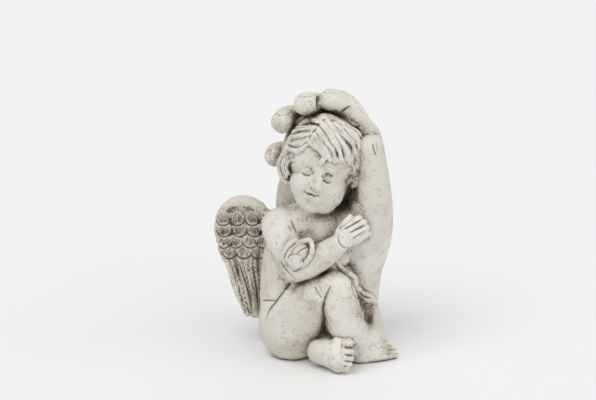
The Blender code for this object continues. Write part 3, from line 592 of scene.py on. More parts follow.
def near_hand(clay):
    """The small hand that lies on the thumb's root."""
    toward = Vector(seen(23, 125, -42)) - Vector(seen(20, 122, -30))
    clay.drawn([(19, 117, -41, 10), (27, 126, -41, 12)], flat=0.62, facing=toward)
    fingers = (
        ((17, 127, -40), (28, 141.5, -35)),
        ((22, 132, -43), (37, 141, -37)),
        ((27, 129, -44), (42, 136.5, -38)),
        ((31, 124, -44), (44.5, 131.5, -37)),
        ((33, 118, -42), (44.5, 125.5, -36)),
    )
    for knuckle, tip in fingers:
        middle = [(a + b) / 2 for a, b in zip(knuckle, tip)]
        clay.drawn([(*knuckle, 4.1), (*middle, 4), (*tip, 3.4)], sides=12)


def near_leg(clay):
    """The child's right leg, knee drawn up, foot flat at the right."""
    thigh = [(-28, 34, 0, 33), (-12, 52, -16, 28), (2, 65, -30, 22), (12, 71.5, -36, 17.5)]
    clay.drawn(thigh, sides=24)
    shin = [(14, 71, -37, 17.5), (18, 54, -40, 19), (23.5, 36, -37, 18.5)]
    shin += [(31, 22, -29, 14), (36, 12, -22, 11)]
    clay.drawn(shin, sides=24)
    foot = [(37, 6, -18, 12), (50, 7.5, -15, 12), (61, 6.5, -12, 10), (69, 5.5, -9, 7)]
    clay.drawn(foot, sides=20)


def far_leg(clay):
    """The child's left leg, laid flat, with its sole turned to the front."""
    clay.drawn([(0, 30, 6, 28), (24, 30, 0, 24), (38, 24, -2, 18)])
    clay.ball(seen(10, 26, -14), (20, 18, 20))
    clay.drawn([(44, 22, -6, 16), (26, 16, -24, 14), (6, 12, -34, 12)])
    sole = Vector((-0.5, -0.84, 0.1))
    foot = [(-4, 7.5, -37, 12.5), (6, 6, -43, 14), (15, 4, -49, 16.5)]
    clay.drawn(foot, flat=0.78, facing=sole, sides=24)


def far_toes(clay):
    """Five toes on the turned-up foot, the big one above."""
    toes = [(25.5, 15.6, -51, 6.4), (27.5, 7, -55, 4.8), (27.6, 0.8, -56, 4.4)]
    toes += [(26.4, -4.9, -56, 4.1), (24, -9.8, -55, 3.6)]
    for u, v, y, radius in toes:
        clay.drawn([(u - 9, v + 0.5, y + 2, radius + 0.6), (u, v, y, radius)], sides=12)


def near_toes(clay):
    """Toes of the foot at the right."""
    toes = [(68, 9, -17, 5.6), (71, 7.5, -10, 4.6), (71.5, 8.5, -4.5, 4.1), (70, 9.5, 0.5, 3.7)]
    for u, v, y, radius in toes:
        clay.drawn([(u - 8, v + 1, y, radius), (u, v, y, radius)], sides=12)


def head(clay):
    """Skull, face, cheeks, chin, nose and lips of a small child."""
    axes = head_axes()
    clay.ball(on_head(1, -3, 3), SKULL, axes)
    clay.ball(on_head(4, 6, -22), (29, 31, 27), axes)
    clay.ball(on_head(2, 10, -6), (26, 25, 24), axes)
    clay.ball(on_head(-8, 20.5, -25), (15, 15, 15), axes)
    clay.ball(on_head(16, 19, -26), (16, 15.5, 16), axes)
    clay.ball(on_head(4, 23.5, -41), (11, 10, 8.5), axes)
    clay.ball(on_head(4, 31, -32), (9, 6, 7), axes)
    clay.ball(on_head(13, 19, -37), (15, 13, 11), axes)
    clay.ball(on_head(-3, 21, -36), (12, 12, 10.5), axes)
    clay.drawn([(4, 33, -6, 3), (4, 36.5, -12, 3.2), (4, 39, -17.5, 4)], on_head)
    for side in (-1, 1):
        clay.ball(on_head(4 + side * 3.8, 36.5, -18), (2.8, 3, 2.6), axes)
        clay.ball(on_head(4 + side * 35, -2, -10), (5, 8, 11), axes)


def on_hair(u, v, lift):
    """The place on the cap of hair, raised by lift, that the front view shows nearest to u, v."""
    centre, turn = Vector(on_head(*HAIR_CENTRE)), head_axes().transposed()
    radii = Vector(HAIR) + Vector((lift, lift, lift))
    middle_u, middle_v, middle_y = HEAD_CENTRE
    for share in np.linspace(1, 0, 41):
        near_u, near_v = middle_u + (u - middle_u) * share, middle_v + (v - middle_v) * share
        for y in np.arange(middle_y - 60, middle_y + 20, 0.5):
            way = turn @ (Vector(seen(near_u, near_v, y)) - centre)
            if sum((w / r) ** 2 for w, r in zip(way, radii)) <= 1:
                return seen(near_u, near_v, y)
    return tuple(centre)


def lock(clay, line, radius, lift=1.2):
    """A lock of hair along a line of u, v over the cap, thickest in the middle."""
    line = spline(np.array(line, float), 3)
    stations = []
    for (u, v), share in zip(line, np.linspace(0, 1, len(line))):
        swell = 0.6 + 0.4 * math.sin(math.pi * min(1, 0.1 + 1.1 * share))
        stations.append((*on_hair(u, v, lift), radius * swell))
    outward = Vector(stations[0][:3]) - Vector(on_head(*HAIR_CENTRE))
    clay.limb(stations, flat=0.7, facing=outward, sides=10, steps=2)


def between(line, share):
    """The point at that share of the way along a line of points."""
    at = share * (len(line) - 1)
    return [float(np.interp(at, range(len(line)), [p[k] for p in line])) for k in range(len(line[0]))]


def right_lock(share):
    """A line of u, v down the hair on the parting's right, from under the finger (0) to the forehead (1)."""
    root, end = between(RIGHT_ROOTS, share), between(RIGHT_ENDS, share)
    first = (root[0] * 0.66 + end[0] * 0.34 + 1.9, root[1] * 0.66 + end[1] * 0.34 + 0.6)
    second = (root[0] * 0.33 + end[0] * 0.67 + 3.0, root[1] * 0.33 + end[1] * 0.67 + 1.2)
    return [root, first, second, end]


def left_lock(share):
    """The same on the parting's left."""
    root, end = between(PARTING, share), between(LEFT_ENDS, share)
    middle = ((root[0] + end[0]) / 2, (root[1] + end[1]) / 2 + 3.5 - 9 * share)
    return [root, middle, end]


def front_hair(clay):
    """Locks swept down both ways from the parting, a hooked one on the forehead, and curls at the ears."""
    for way, count in ((right_lock, RIGHT_LOCKS), (left_lock, LEFT_LOCKS)):
        for i in range(count):
            lock(clay, way(i / (count - 1)), 3.9, 0.5 * (i % 2))
    lock(clay, HOOK, 4.6, 1.6)
    lock(clay, SMOOTH_MASS, 8.5, -3.5)
    for depth, curl in enumerate(CURLS):
        clay.drawn([(u, v, -14 - 3 * depth, 2.6) for u, v in curl], sides=10, steps=4)
    clay.ball(seen(-34, 180, -10), (5, 5, 6))
    lock(clay, LOCK_BED, 5.5, -3.2)
    lock(clay, CROWN, 6.5, -1.8)
    clay.ball(seen(31, 183, -17), (6, 5, 11))
    for curl, y in RINGLETS:
        clay.drawn([(u, v, y, 2.5) for u, v in curl], sides=10, steps=3)


def shifted(line, off):
    """The line moved sideways by off."""
    line = np.array(line, float)
    ahead = unit_rows(np.gradient(line, axis=0))
    return line + off * np.stack([-ahead[:, 1], ahead[:, 0]], axis=1)


def hair_strokes(draw):
    """Grooves between the locks in front, the parting, and strands along the locks."""
    strokes = [(PARTING, 1.1, 1.0)]
    for way, count in ((right_lock, RIGHT_LOCKS), (left_lock, LEFT_LOCKS)):
        for i in range(count - 1):
            line = spline(np.array(way((i + 0.5) / (count - 1)), float), 4)
            line = shifted(line, 0.8 * np.sin(np.arange(len(line)) * 0.7 + 2 * i)[:, None])
            ease = 0.45 + 0.55 * i / (count - 1) if way is right_lock else 0.95
            strokes.append((line, LOCK_GROOVE * ease, 0.85))
        total = (count - 1) * (STRANDS + 1)
        for i in range(total + 1):
            line = spline(np.array(way((i + draw.uniform(-0.25, 0.25)) / total), float), 4)
            start, end = draw.choice((0, 0, 1, 3)), draw.choice((0, 1, 2, 4))
            line = shifted(line, 0.55 * np.sin(np.arange(len(line)) * 0.8 + draw.uniform(0, 6))[:, None])
            strokes.append((line[start : len(line) - end], draw.uniform(0.6, 1.15), draw.uniform(0.62, 0.78)))
    strokes += [(shifted(HOOK, off), 0.5, 0.6) for off in (-1.6, 0.2, 1.8)]
    for curl in CURLS:
        strokes += [(shifted(curl, off), 0.8, 0.6) for off in (-0.9, 0.9)]
        strokes.append((shifted(curl, 2.6), 1.2, 0.8))
    strokes += [(shifted(curl, off), 0.8, 0.6) for curl, _ in RINGLETS for off in (-0.9, 0.7)]
    return strokes


def back_hair(clay):
    """The cap of hair, and plain locks that fall from its crown behind."""
    clay.ball(on_head(*HAIR_CENTRE), [r - CAP_DEPTH for r in HAIR], head_axes())
    left, front, up = HAIR_CENTRE
    for i in range(BACK_LOCKS):
        turn = math.radians(-BACK_SWEEP + 2 * BACK_SWEEP * i / (BACK_LOCKS - 1))
        stations = []
        for fall in np.linspace(math.radians(24), math.radians(122), 6):
            way = Vector((math.sin(turn) * math.sin(fall), -math.cos(turn) * math.sin(fall), math.cos(fall)))
            reach = Vector([w * r for w, r in zip(way, HAIR)])
            sunk = 0 if stations else 3  # a lock begins within the crown
            stations.append(on_head(left + reach.x, front + reach.y, up + reach.z - sunk, 4.4 - 0.6 * sunk))
        outward = Vector(stations[2][:3]) - Vector(on_head(*HAIR_CENTRE))
        clay.limb(stations, flat=0.7, facing=outward, sides=10, steps=3)


def around_head(points):
    """Where each point lies on the hair's ellipsoid: the turn about its crown and the fall from it, both in
    units along the skin, and how far out it is over the ellipsoid's own reach."""
    centre, turn = np.array(on_head(*HAIR_CENTRE)), np.array(head_axes())
    ways = (points - centre) @ turn / np.array(HAIR)
    out = np.linalg.norm(ways, axis=1)
    fall = np.arccos(np.clip(ways[:, 2] / np.maximum(out, 1e-9), -1, 1))
    around = np.arctan2(ways[:, 0], ways[:, 1])
    return np.degrees(around) * SKIN_DEGREE, np.degrees(fall) * SKIN_DEGREE, out


def back_hair_strokes(draw):
    """Grooves between the locks behind and strands along them, in the coordinates of around_head."""
    strokes = []
    spacing = 2 * BACK_SWEEP / (BACK_LOCKS - 1)
    for i in range(BACK_LOCKS * (STRANDS + 1)):
        turn = -BACK_SWEEP - spacing / 2 + spacing * i / (STRANDS + 1)
        main = i % (STRANDS + 1) == 0
        falls = range(16, 131, 9)
        wave = [(turn + 2.4 * math.sin(math.radians(fall * 4 + turn * 2)), fall) for fall in falls]
        line = [(a * SKIN_DEGREE, b * SKIN_DEGREE) for a, b in wave]
        strokes.append((line, 2.0 if main else draw.uniform(0.5, 1.0), 1.1 if main else 0.6))
    return strokes


def wing_feather(clay, place, top, bottom, radius, out):
    """A long flight feather."""
    (a, b), (c, d) = top, bottom
    facing = Vector(place(a, b, 1)) - Vector(place(a, b, 0))
    middle = ((a * 0.45 + c * 0.55) - 1.5, b * 0.45 + d * 0.55)
    stations = [(a, b, out, radius), (*middle, out, radius * 1.05), (c, d, out, radius * 0.7)]
    clay.drawn(stations, place, flat=0.42, facing=facing, sides=12)


def wing(clay, place):
    """One wing. place turns the wing's own across, up and out into the statue's."""
    rim = [(2, -16, 0, 7), (-3, 0, 0, 7.5), (-15, 10.5, 0, 7), (-30, 11.5, 0, 6.5), (-42, 2, 0, 6)]
    rim += [(-47, -12, 0, 5), (-46, -26, 0, 4), (-44.4, -36, -0.6, 3.4), (-41, -46, -1, 3)]
    clay.drawn(rim, place)
    plate = [(-22, -3, -2, 24), (-23, -30, -2.5, 24), (-17, -62, -3, 19), (-8, -90, -3, 12)]
    facing = Vector(place(0, 0, 1)) - Vector(place(0, 0, 0))
    clay.drawn(plate, place, flat=0.2, facing=facing, sides=24)
    clay.drawn([(6, -8, 0, 10), (8, -34, -2, 9)], place)
    inner = [(-10, -2, 0, 18), (-9, -30, 0, 18), (-6, -58, -1, 14)]
    clay.drawn(inner, place, flat=0.28, facing=facing, sides=24)
    tip = [(-17, -84, 1, 6), (-9.5, -100, 1.6, 5.6)]
    top = [(-33, 3.5, 1.8, 11), (-20, 5.5, 2, 12), (-8, 3, 1.8, 11)]
    for stations, flat in ((tip, 0.42), (top, 0.4)):
        clay.drawn(stations, place, flat=flat, facing=facing)
    for i, (top, end) in enumerate(zip(FLIGHT_TOPS, FLIGHT_ENDS)):
        wing_feather(clay, place, (top, -32), (end, -99.5 - 1.2 * i), 6.6, 1.6 + 0.8 * i)
    turn = Matrix((Vector(place(1, 0, 0)) - Vector(place(0, 0, 0)), facing, (0, 0, 1))).transposed()
    lean = turn @ Matrix.Rotation(math.radians(COVERT_LEAN), 3, "X")
    for row, (up, places) in enumerate(reversed(COVERTS)):
        for across in places:
            clay.ball(place(across, up, 2.8 + 0.4 * row), COVERT, lean)


def flight_line(acrosses):
    """A line down the long feathers, in the wing's own coordinates."""
    return list(zip(acrosses, SHAFT_UPS))


def barbs(shaft, draw, outermost):
    """Slanting barbs at both sides of a long feather's shaft."""
    strokes = []
    downs = [-up for up in SHAFT_UPS]
    for down in np.arange(33, 97, 4.7):
        share = (down - 46) / 53
        for side in (-1, 1):
            reach = 4.6 - (2.6 if outermost and side < 0 else 1.2) * share
            start = down - 2.3 * (side > 0) + draw.uniform(-0.4, 0.4)
            end = start + draw.uniform(7.5, 9.5)
            line = [
                (float(np.interp(start, downs, shaft)) + 0.9 * side, -start),
                (float(np.interp(end, downs, shaft)) + reach * side, -end),
            ]
            strokes.append((line, draw.uniform(0.8, 1.15), 0.66))
    return strokes


def outside(line, discs):
    """The stretches of a line of across, up that lie outside every disc."""
    line = spline(np.array(line, float), 5)
    free = np.ones(len(line), bool)
    for across, up in discs:
        free &= np.hypot((line[:, 0] - across) / 8.3, (line[:, 1] - up - 1) / 8.7) > 1
    stretches, run = [], []
    for point, is_free in zip(line, free):
        if is_free:
            run.append(tuple(point))
        if run and not is_free:
            stretches.append(run)
            run = []
    return [s for s in [*stretches, run] if len(s) > 2]


def feather_strokes(across, up, above, draw):
    """The edge of one short feather, and the grooves that fan out from under the row above."""
    strokes = []
    turns = [math.radians(a) for a in range(-180, 1, 15)]
    edge = [(across + 8.1 * math.cos(t), up + 1 + 8.5 * math.sin(t)) for t in turns]
    edge = [(across - 8.1, up + 6), *edge, (across + 8.1, up + 6)]
    strokes += [(run, 1.7, 0.85) for run in outside(edge, above)]
    for angle in (-150, -126, -102, -78, -54, -30):
        t = math.radians(angle + draw.uniform(-5, 5))
        reach = draw.uniform(5.6, 6.8)
        end = (across + reach * math.cos(t), up + 1 + reach * math.sin(t))
        root = (across + 1.2 * math.cos(t), up + 6.5)
        strokes += [(run, draw.uniform(0.8, 1.2), 0.66) for run in outside([root, end], above)]
    return strokes


def wing_strokes(draw):
    """Edges and grooves of the short feathers, and gaps, shafts and barbs of the long ones, in the wing's own
    across and up."""
    strokes = []
    above = []
    for across in FAINT_COVERTS:
        for angle in (-160, -142, -125, -108, -90, -72, -55, -38, -20):
            t = math.radians(angle + draw.uniform(-7, 7))
            low, high = draw.uniform(2, 4), draw.uniform(7.5, 10.5)
            line = [(across + r * math.cos(t), 8 + r * math.sin(t)) for r in (low, (low + high) / 2, high)]
            strokes.append((line, draw.uniform(0.35, 0.85), draw.uniform(0.6, 0.8)))
    for up, places in COVERTS:
        for across in places:
            strokes += feather_strokes(across, up, above, draw)
        above = [(across, up) for across in places]
    strokes += [(flight_line(gap), 2.0, 0.9) for gap in GAPS]
    for number, shaft in enumerate(SHAFTS):
        strokes.append((flight_line(shaft), -0.9, 0.7))
        strokes += barbs(shaft, draw, number == 0)
    return strokes


def near_wing_place(across, up, out, *rest):
    """Where the wing behind the child's right shoulder puts its own coordinates."""
    return seen(NEAR_WING[0] + across, NEAR_WING[1] + up, 26 - across * 0.22 - out, *rest)


def far_wing_place(across, up, out, *rest):
    """Where the other wing does. It leaves the back between the body and the large palm."""
    along, aside = FAR_WING_WAY
    wide, high = FAR_WING_SIZE
    left = FAR_WING[0] - along * across * wide + aside * out
    back = FAR_WING[1] - aside * across * wide - along * out
    return (left, back, FAR_WING[2] + up * high, *rest)


def in_far_wing(points):
    """The far wing's own across, up and out for each point."""
    along, aside = FAR_WING_WAY
    wide, high = FAR_WING_SIZE
    left, back = points[:, 0] - FAR_WING[0], points[:, 1] - FAR_WING[1]
    size = along * along + aside * aside
    across = (-along * left - aside * back) / size / wide
    out = (aside * left - along * back) / size
    return across, (points[:, 2] - FAR_WING[2]) / high, out


def drapery(clay):
    """Cloth gathered in the crook of the arm, its rolled hem beside the knee, and folds round the wrist."""
    clay.drawn([(33, 50, 22, 25), (34, 34, 22, 29), (35, 12, 22, 32), (35, -8, 22, 32)], sides=24)
    clay.drawn([(22, 88, -18, 9), (30, 78, -14, 9), (35, 66, -10, 9), (42, 56, -4, 9)])
    hem = [(14, 99, -36, 2.4), (19, 91, -34, 2.8), (27, 85, -31, 3.2), (32, 80, -29, 3.8)]
    hem += [(32.7, 72, -27, 3.8), (35.5, 65, -24, 3.6), (41, 60.5, -20, 3.4), (47.8, 58.9, -14, 3.4)]
    hem += [(54, 56, -8, 3)]
    upper = [(37, 71, -22, 2.4), (39.5, 67, -22, 2.6), (44.5, 64.3, -18, 2.6)]
    upper += [(49, 62.4, -12, 2.6), (54, 57, -8, 2.4)]
    for fold in (hem, upper):
        clay.drawn(fold, sides=12)
    clay.ball(seen(-24, 104, -42.5), (13.5, 7, 13.5))
    outer = [(-37, 97, -38, 3), (-37.5, 105, -40, 3.2), (-33, 113.5, -41, 3.4), (-26, 118, -39, 3.2)]
    inner = [(-32.5, 104, -45, 2.6), (-27.5, 111.5, -46, 3), (-20, 117, -45, 3), (-13, 119, -41, 2.8)]
    rim = [(-11, 117, -43, 2.6), (-10, 111, -47, 2.8), (-11.5, 103.5, -49, 2.8), (-15.5, 97.5, -50, 2.6)]
    rim += [(-21, 93.5, -48, 2.6), (-28, 90, -45, 2.6)]
    for fold in (outer, inner, rim):
        clay.drawn(fold, sides=12)
    clay.ball(seen(-27.5, 97.5, -47), (6.5, 4, 7.5))


def cloth_strokes():
    """Narrow folds of the gathered cloth and of the hem."""
    hem_edge = [(12.5, 96), (18, 88.8), (25.4, 83.4), (30, 78.4), (31, 71), (34, 62.4), (40.4, 57), (50, 54)]
    return [
        ([(-38.4, 99), (-34.8, 109), (-25.6, 116.3), (-13, 119)], 1.3, 0.95),
        ([(-33, 101), (-27.6, 110.4), (-20.3, 114.8), (-14.6, 115.8)], 1.1, 0.9),
        ([(-26, 104.4), (-20, 109.4), (-13, 112.6)], 1.2, 1.2),
        ([(-34.6, 99.6), (-32.4, 103.6), (-26, 105), (-19.6, 102.4)], 1.1, 0.9),
        ([(-19.4, 103), (-18.8, 97), (-21.6, 90.6), (-28, 88), (-35, 90.6)], 1.1, 0.9),
        ([(-13, 116.4), (-12.6, 109.6), (-14.6, 103.4), (-19, 97.6)], 0.5, 1.0),
        ([(-41.4, 107), (-40.8, 97), (-34, 86.6), (-24, 78)], 1.1, 0.95),
        (hem_edge, 1.3, 0.9),
        ([(36, 69.4), (41.6, 62.8), (50, 60.4)], 0.9, 0.8),
        ([(49, 55), (47.6, 44), (47.6, 34)], 0.9, 2.6),
    ]


def back_seen(points):
    """The view from straight behind: across, up, and how near."""
    return points[:, 0], points[:, 2], -points[:, 1]


def back_strokes():
    """Wrinkles over the large hand's knuckles and wrist, and the child's spine and seat, from behind."""
    strokes = []
    for u, v, lean in ((22, 224, 0), (-4, 222, 2), (-26, 202, 4), (44, 205, -3)):
        for step in (-2.6, 0, 2.6):
            wrinkle = [(u - 7, v + step - lean), (u, v + step * 1.5), (u + 7, v + step + lean)]
            strokes.append((wrinkle, 0.3, 1.1))
    strokes += [([(u, 196), (u * 0.86 + 3, 160), (u * 0.7 + 7, 122)], -0.9, 2.2) for u in (-17, 2, 22, 40)]
    strokes += [([(2, 74), (24, 71), (46, 74)], 0.45, 1.0), ([(4, 80), (24, 77.6), (44, 80)], 0.35, 0.9)]
    return strokes


def carve(points, quads):
    """Presses every fine stroke into the skin and returns the moved points and how deep each was pressed."""
    draw = random.Random(DRAW_SEED)
    normals = normals_of(points, quads)
    u, v, front = front_view(points, normals, CARVED_FACING)
    body = front & ((points[:, 1] < WING_FRONT) | (u > NEAR_WING[0] + WING_OVERLAP))
    press = press_of(u, v, body, face_strokes() + body_strokes() + digit_strokes())
    press += press_of(u, v, body, giant_strokes() + cloth_strokes() + hair_strokes(draw))
    feathers = wing_strokes(draw)
    wing_u, wing_v = u - NEAR_WING[0], v - NEAR_WING[1]
    press += press_of(wing_u, wing_v, front & (points[:, 1] > WING_FRONT) & (wing_u < WING_OVERLAP), feathers)
    behind = (normals[:, 1] > 0.1) & (points[:, 1] > WING_FRONT) & (wing_u < 4) & (wing_v < 20)
    across, up, out = in_far_wing(points)
    far_wing = (np.abs(out) < WING_ROOM) & (up < WING_TOP) & (across < -2)
    far_wing &= (points[:, 0] < -36) & (points[:, 1] > 40)
    press += press_of(wing_u, wing_v, behind & ~far_wing, feathers)
    press += press_of(across, up, far_wing, feathers)
    around, fall, reach = around_head(points)
    hair = (reach > HAIR_REACH[0]) & (reach < HAIR_REACH[1]) & ~body
    press += press_of(around, fall, hair, back_hair_strokes(draw))
    x, z, near = back_seen(points)
    back = in_front(x, z, near) & (normals[:, 1] > 0.2) & ~far_wing
    press += press_of(x, z, back, back_strokes())
    above = in_front(x, points[:, 1], -z) & (normals[:, 2] > 0.25) & (z > NAILS_FROM)
    press += press_of(x, points[:, 1], above, nail_strokes())
    press += pits(points, draw)
    return points - normals * (press - waver(points))[:, None], press


def waver(points):
    """The slow unevenness of a form shaped by hand, and a ragged edge at the floor."""
    height, fineness = WAVER
    edge_height, edge_fineness, edge_up = RAGGED
    rise = height * noise_at(points * fineness)
    low = np.flatnonzero(points[:, 2] < 2 * edge_up)
    ragged = noise_at(points[low] * edge_fineness)
    rise[low] += edge_height * ragged * np.exp(-((points[low, 2] / edge_up) ** 2))
    return rise


def noise_at(places):
    """Smooth noise from about -1 to 1 at each place."""
    return np.array([noise.noise(Vector(p)) for p in places])


def pits(points, draw):
    """Small holes that air left in the cast."""
    press = np.zeros(len(points))
    order = np.argsort(points[:, 0], kind="stable")
    xs = points[order, 0]
    for _ in range(PITS):
        at = points[draw.randrange(len(points))]
        width, depth = draw.uniform(*PIT_WIDTH), draw.uniform(*PIT_DEPTH)
        start, end = np.searchsorted(xs, (at[0] - 2.5 * width, at[0] + 2.5 * width))
        off = np.linalg.norm(points[order[start:end]] - at, axis=1)
        press[order[start:end]] += depth * np.exp(-((off / width) ** 2))
    return press


def blurred(values, quads, rounds):
    """Values evened out over neighbouring corners, round after round."""
    a, b = quads.ravel(), np.roll(quads, -1, axis=1).ravel()
    share = np.bincount(a, minlength=len(values)).astype(float)
    share += np.bincount(b, minlength=len(values))
    for _ in range(rounds):
        total = np.bincount(a, values[b], len(values)) + np.bincount(b, values[a], len(values))
        values = 0.5 * values + 0.5 * total / share
    return values


def recess_of(points, quads, press):
    """0 on open skin to 1 in grooves and narrow folds."""
    normals = normals_of(points, quads)
    recess = blurred(np.clip(press, 0, 2.0), quads, 2) * 0.3
    for rounds, scale in RECESS_LOOKS:
        smooth = np.stack([blurred(points[:, axis], quads, rounds) for axis in range(3)], axis=1)
        sunk = ((smooth - points) * normals).sum(1)
        recess += np.clip(sunk * scale, -0.3, 0.8)
    reach = around_head(points)[2]
    hair = (reach > 0.88) & (reach < 1.2)
    return np.clip(recess * (1 - 0.15 * hair), 0, 1)


def shade_of(points, quads):
    """0 on open skin to 1 deep between forms: how much of the room about it each point doesn't see. This is
    the shade that is painted into the colour.
    """
    normals = normals_of(points, quads)
    tree = BVHTree.FromPolygons(points.tolist(), quads.tolist())
    cells = np.floor(points / SHADE_CELL).astype(np.int64) + 200
    sides = (normals > 0).astype(np.int64) @ (1, 2, 4)
    # Corners in one cell whose skin faces the same eighth of the room have the same key.
    key = ((cells[:, 0] * 512 + cells[:, 1]) * 512 + cells[:, 2]) * 8 + sides
    first, index = np.unique(key, return_index=True, return_inverse=True)[1:]
    ways = [Vector((w[0], w[1], w[2])) for w in around_ways(SHADE_RAYS)]
    shade = np.zeros(len(first))
    for i, place in enumerate(first):
        normal = Vector(normals[place])
        start = Vector(points[place]) + normal * SHADE_LIFT
        seen_weight = hidden = 0.0
        for way in ways:
            facing = normal.dot(way)
            if facing > 0.1:
                seen_weight += facing
                reach = tree.ray_cast(start, way, SHADE_REACH)[3]
                if reach is not None:
                    hidden += facing * (1 - reach / SHADE_REACH)
        shade[i] = hidden / max(seen_weight, 1e-6)
    return blurred(shade[index], quads, 8)


def around_ways(count):
    """Directions spread evenly over a sphere."""
    turn = math.pi * (3 - math.sqrt(5))
    rows = []
    for i in range(count):
        z = 1 - (2 * i + 1) / count
        flat = math.sqrt(1 - z * z)
        rows.append((flat * math.cos(turn * i), flat * math.sin(turn * i), z))
    return rows


def stain_and_shade_of(points, quads):
    """How dark the skin is painted, 0 to 1: painted shade in deep places and a painted contact shadow at the
    floor, darker wings, and named patches of stain and of painted shade.
    """
    u, v, front = front_view(points, normals_of(points, quads), PATCH_FACING)
    dark, high = PAINTED_FLOOR_SHADOW
    stain_and_shade = shade_of(points, quads) * PAINTED_SHADE_STRENGTH + dark * np.exp(-((points[:, 2] / high) ** 2))
    for at_u, at_v, radius, strength in (*STAIN_AND_SHADE_PATCHES, *face_dark_patches()):
        off = np.hypot(u - at_u, v - at_v) / radius
        stain_and_shade += strength * np.exp(-off * off) * front
    up, out = in_far_wing(points)[1:]
    wings = (u < NEAR_WING[0] - 4) & (v < NEAR_WING[1] + 8) & (points[:, 1] > WING_FRONT)
    wings |= (np.abs(out) < WING_ROOM) & (up < WING_TOP) & (points[:, 0] < -40) & (points[:, 1] > 50)
    stain_and_shade += blurred(wings * WING_DARKENING, quads, 12)
    return np.clip(stain_and_shade - FACE_WEAR * worn_clean(points), 0, 1)


def face_dark_patches():
    """Darker patches in the eye hollows, beside the nose and round the mouth."""
    rows = [(*on_face(side * 10.5, EYES_UP + 1.5), 6.5, 0.42) for side in (-1, 1)]
    rows += [(*on_face(side * 5.5, EYES_UP + 2.5), 3.5, 0.3) for side in (-1, 1)]
    rows += [(*on_face(side * 8, MOUTH_UP + 1.5), 3.5, 0.34) for side in (-1, 1)]
    return [*rows, (*on_face(0, MOUTH_UP - 5.5), 5, 0.36)]


def worn_clean(points):
    """1 on the face, which is cleaner than its surroundings, and 0 away from it."""
    off = np.linalg.norm(points - np.array(on_head(*WORN_FACE)), axis=1)
    near, far = WORN_REACH
    return np.clip((far - off) / (far - near), 0, 1)


def flesh():
    """The soft forms, fused and softened."""
    clay = Clay()
    for shape in (giant_hand, giant_fingers, trunk, near_arm, far_arm, near_leg, far_leg, head):
        shape(clay)
    points, quads = fused("flesh", clay, FLESH_VOXEL, FLESH_SOFTENING)
    normals = normals_of(points, quads)
    u, v, front = front_view(points, normals, CARVED_FACING)
    return points - normals * press_of(u, v, front, face_forms() + body_forms())[:, None], quads


def fine_piece():
    """The whole statue as one closed fine mesh, cut flat at the floor."""
    clay = Clay()
    for shape in (near_hand, far_toes, near_toes, back_hair, front_hair, drapery):
        shape(clay)
    wing(clay, near_wing_place)
    wing(clay, far_wing_place)
    points, quads = fused("detail", clay, DETAIL_VOXEL, DETAIL_SOFTENING, flesh())
    points, press = carve(points, quads)
    recess, stain_and_shade = recess_of(points, quads, press), stain_and_shade_of(points, quads)
    mesh = bpy.data.meshes.new("angel_cast")
    mesh.from_pydata(points * UNIT, [], quads.tolist())
    mesh.attributes.new("recess", "FLOAT", "POINT").data.foreach_set("value", recess)
    mesh.attributes.new("stain_and_shade", "FLOAT", "POINT").data.foreach_set("value", stain_and_shade)
    cut_flat(mesh)
    piece = placed("angel_cast", mesh)
    reduce = piece.modifiers.new("fewer faces", "DECIMATE")
    reduce.ratio = TRIANGLES / sum(len(p.vertices) - 2 for p in mesh.polygons)
    reduce.vertex_group = keep_fine(piece)
    reduce.vertex_group_factor = FINE_FACTOR
    reduced = bpy.data.meshes.new_from_object(piece.evaluated_get(bpy.context.evaluated_depsgraph_get()))
    piece.modifiers.remove(reduce)
    piece.data = reduced
    reduced.shade_smooth()
    return piece


def keep_fine(piece):
    """Weighs the skin so that places with fine strokes keep more faces."""
    mesh = piece.data
    recess = np.empty(len(mesh.vertices))
    mesh.attributes["recess"].data.foreach_get("value", recess)
    quads = np.array([(*p.vertices, p.vertices[-1])[:4] for p in mesh.polygons])
    fine = blurred(np.clip(recess * 4, 0, 1), quads, 4)
    plain = piece.vertex_groups.new(name="plain")
    for level in range(FINE_STEPS + 1):
        members = np.flatnonzero(np.round(np.clip(fine, 0, 1) * FINE_STEPS) == level)
        plain.add(members.tolist(), 1 - level / (2 * FINE_STEPS), "REPLACE")
    return plain.name


def cut_flat(mesh):
    """Cuts the mesh off at the floor and closes it there."""
    form = bmesh.new()
    form.from_mesh(mesh)
    parts = form.verts[:] + form.edges[:] + form.faces[:]
    cut = bmesh.ops.bisect_plane(form, geom=parts, plane_co=(0, 0, 0), plane_no=(0, 0, 1), clear_inner=True)
    edges = [e for e in cut["geom_cut"] if isinstance(e, bmesh.types.BMEdge)]
    bmesh.ops.contextual_create(form, geom=edges)
    bmesh.ops.triangulate(form, faces=[f for f in form.faces if len(f.verts) > 4])
    form.to_mesh(mesh)
    form.free()


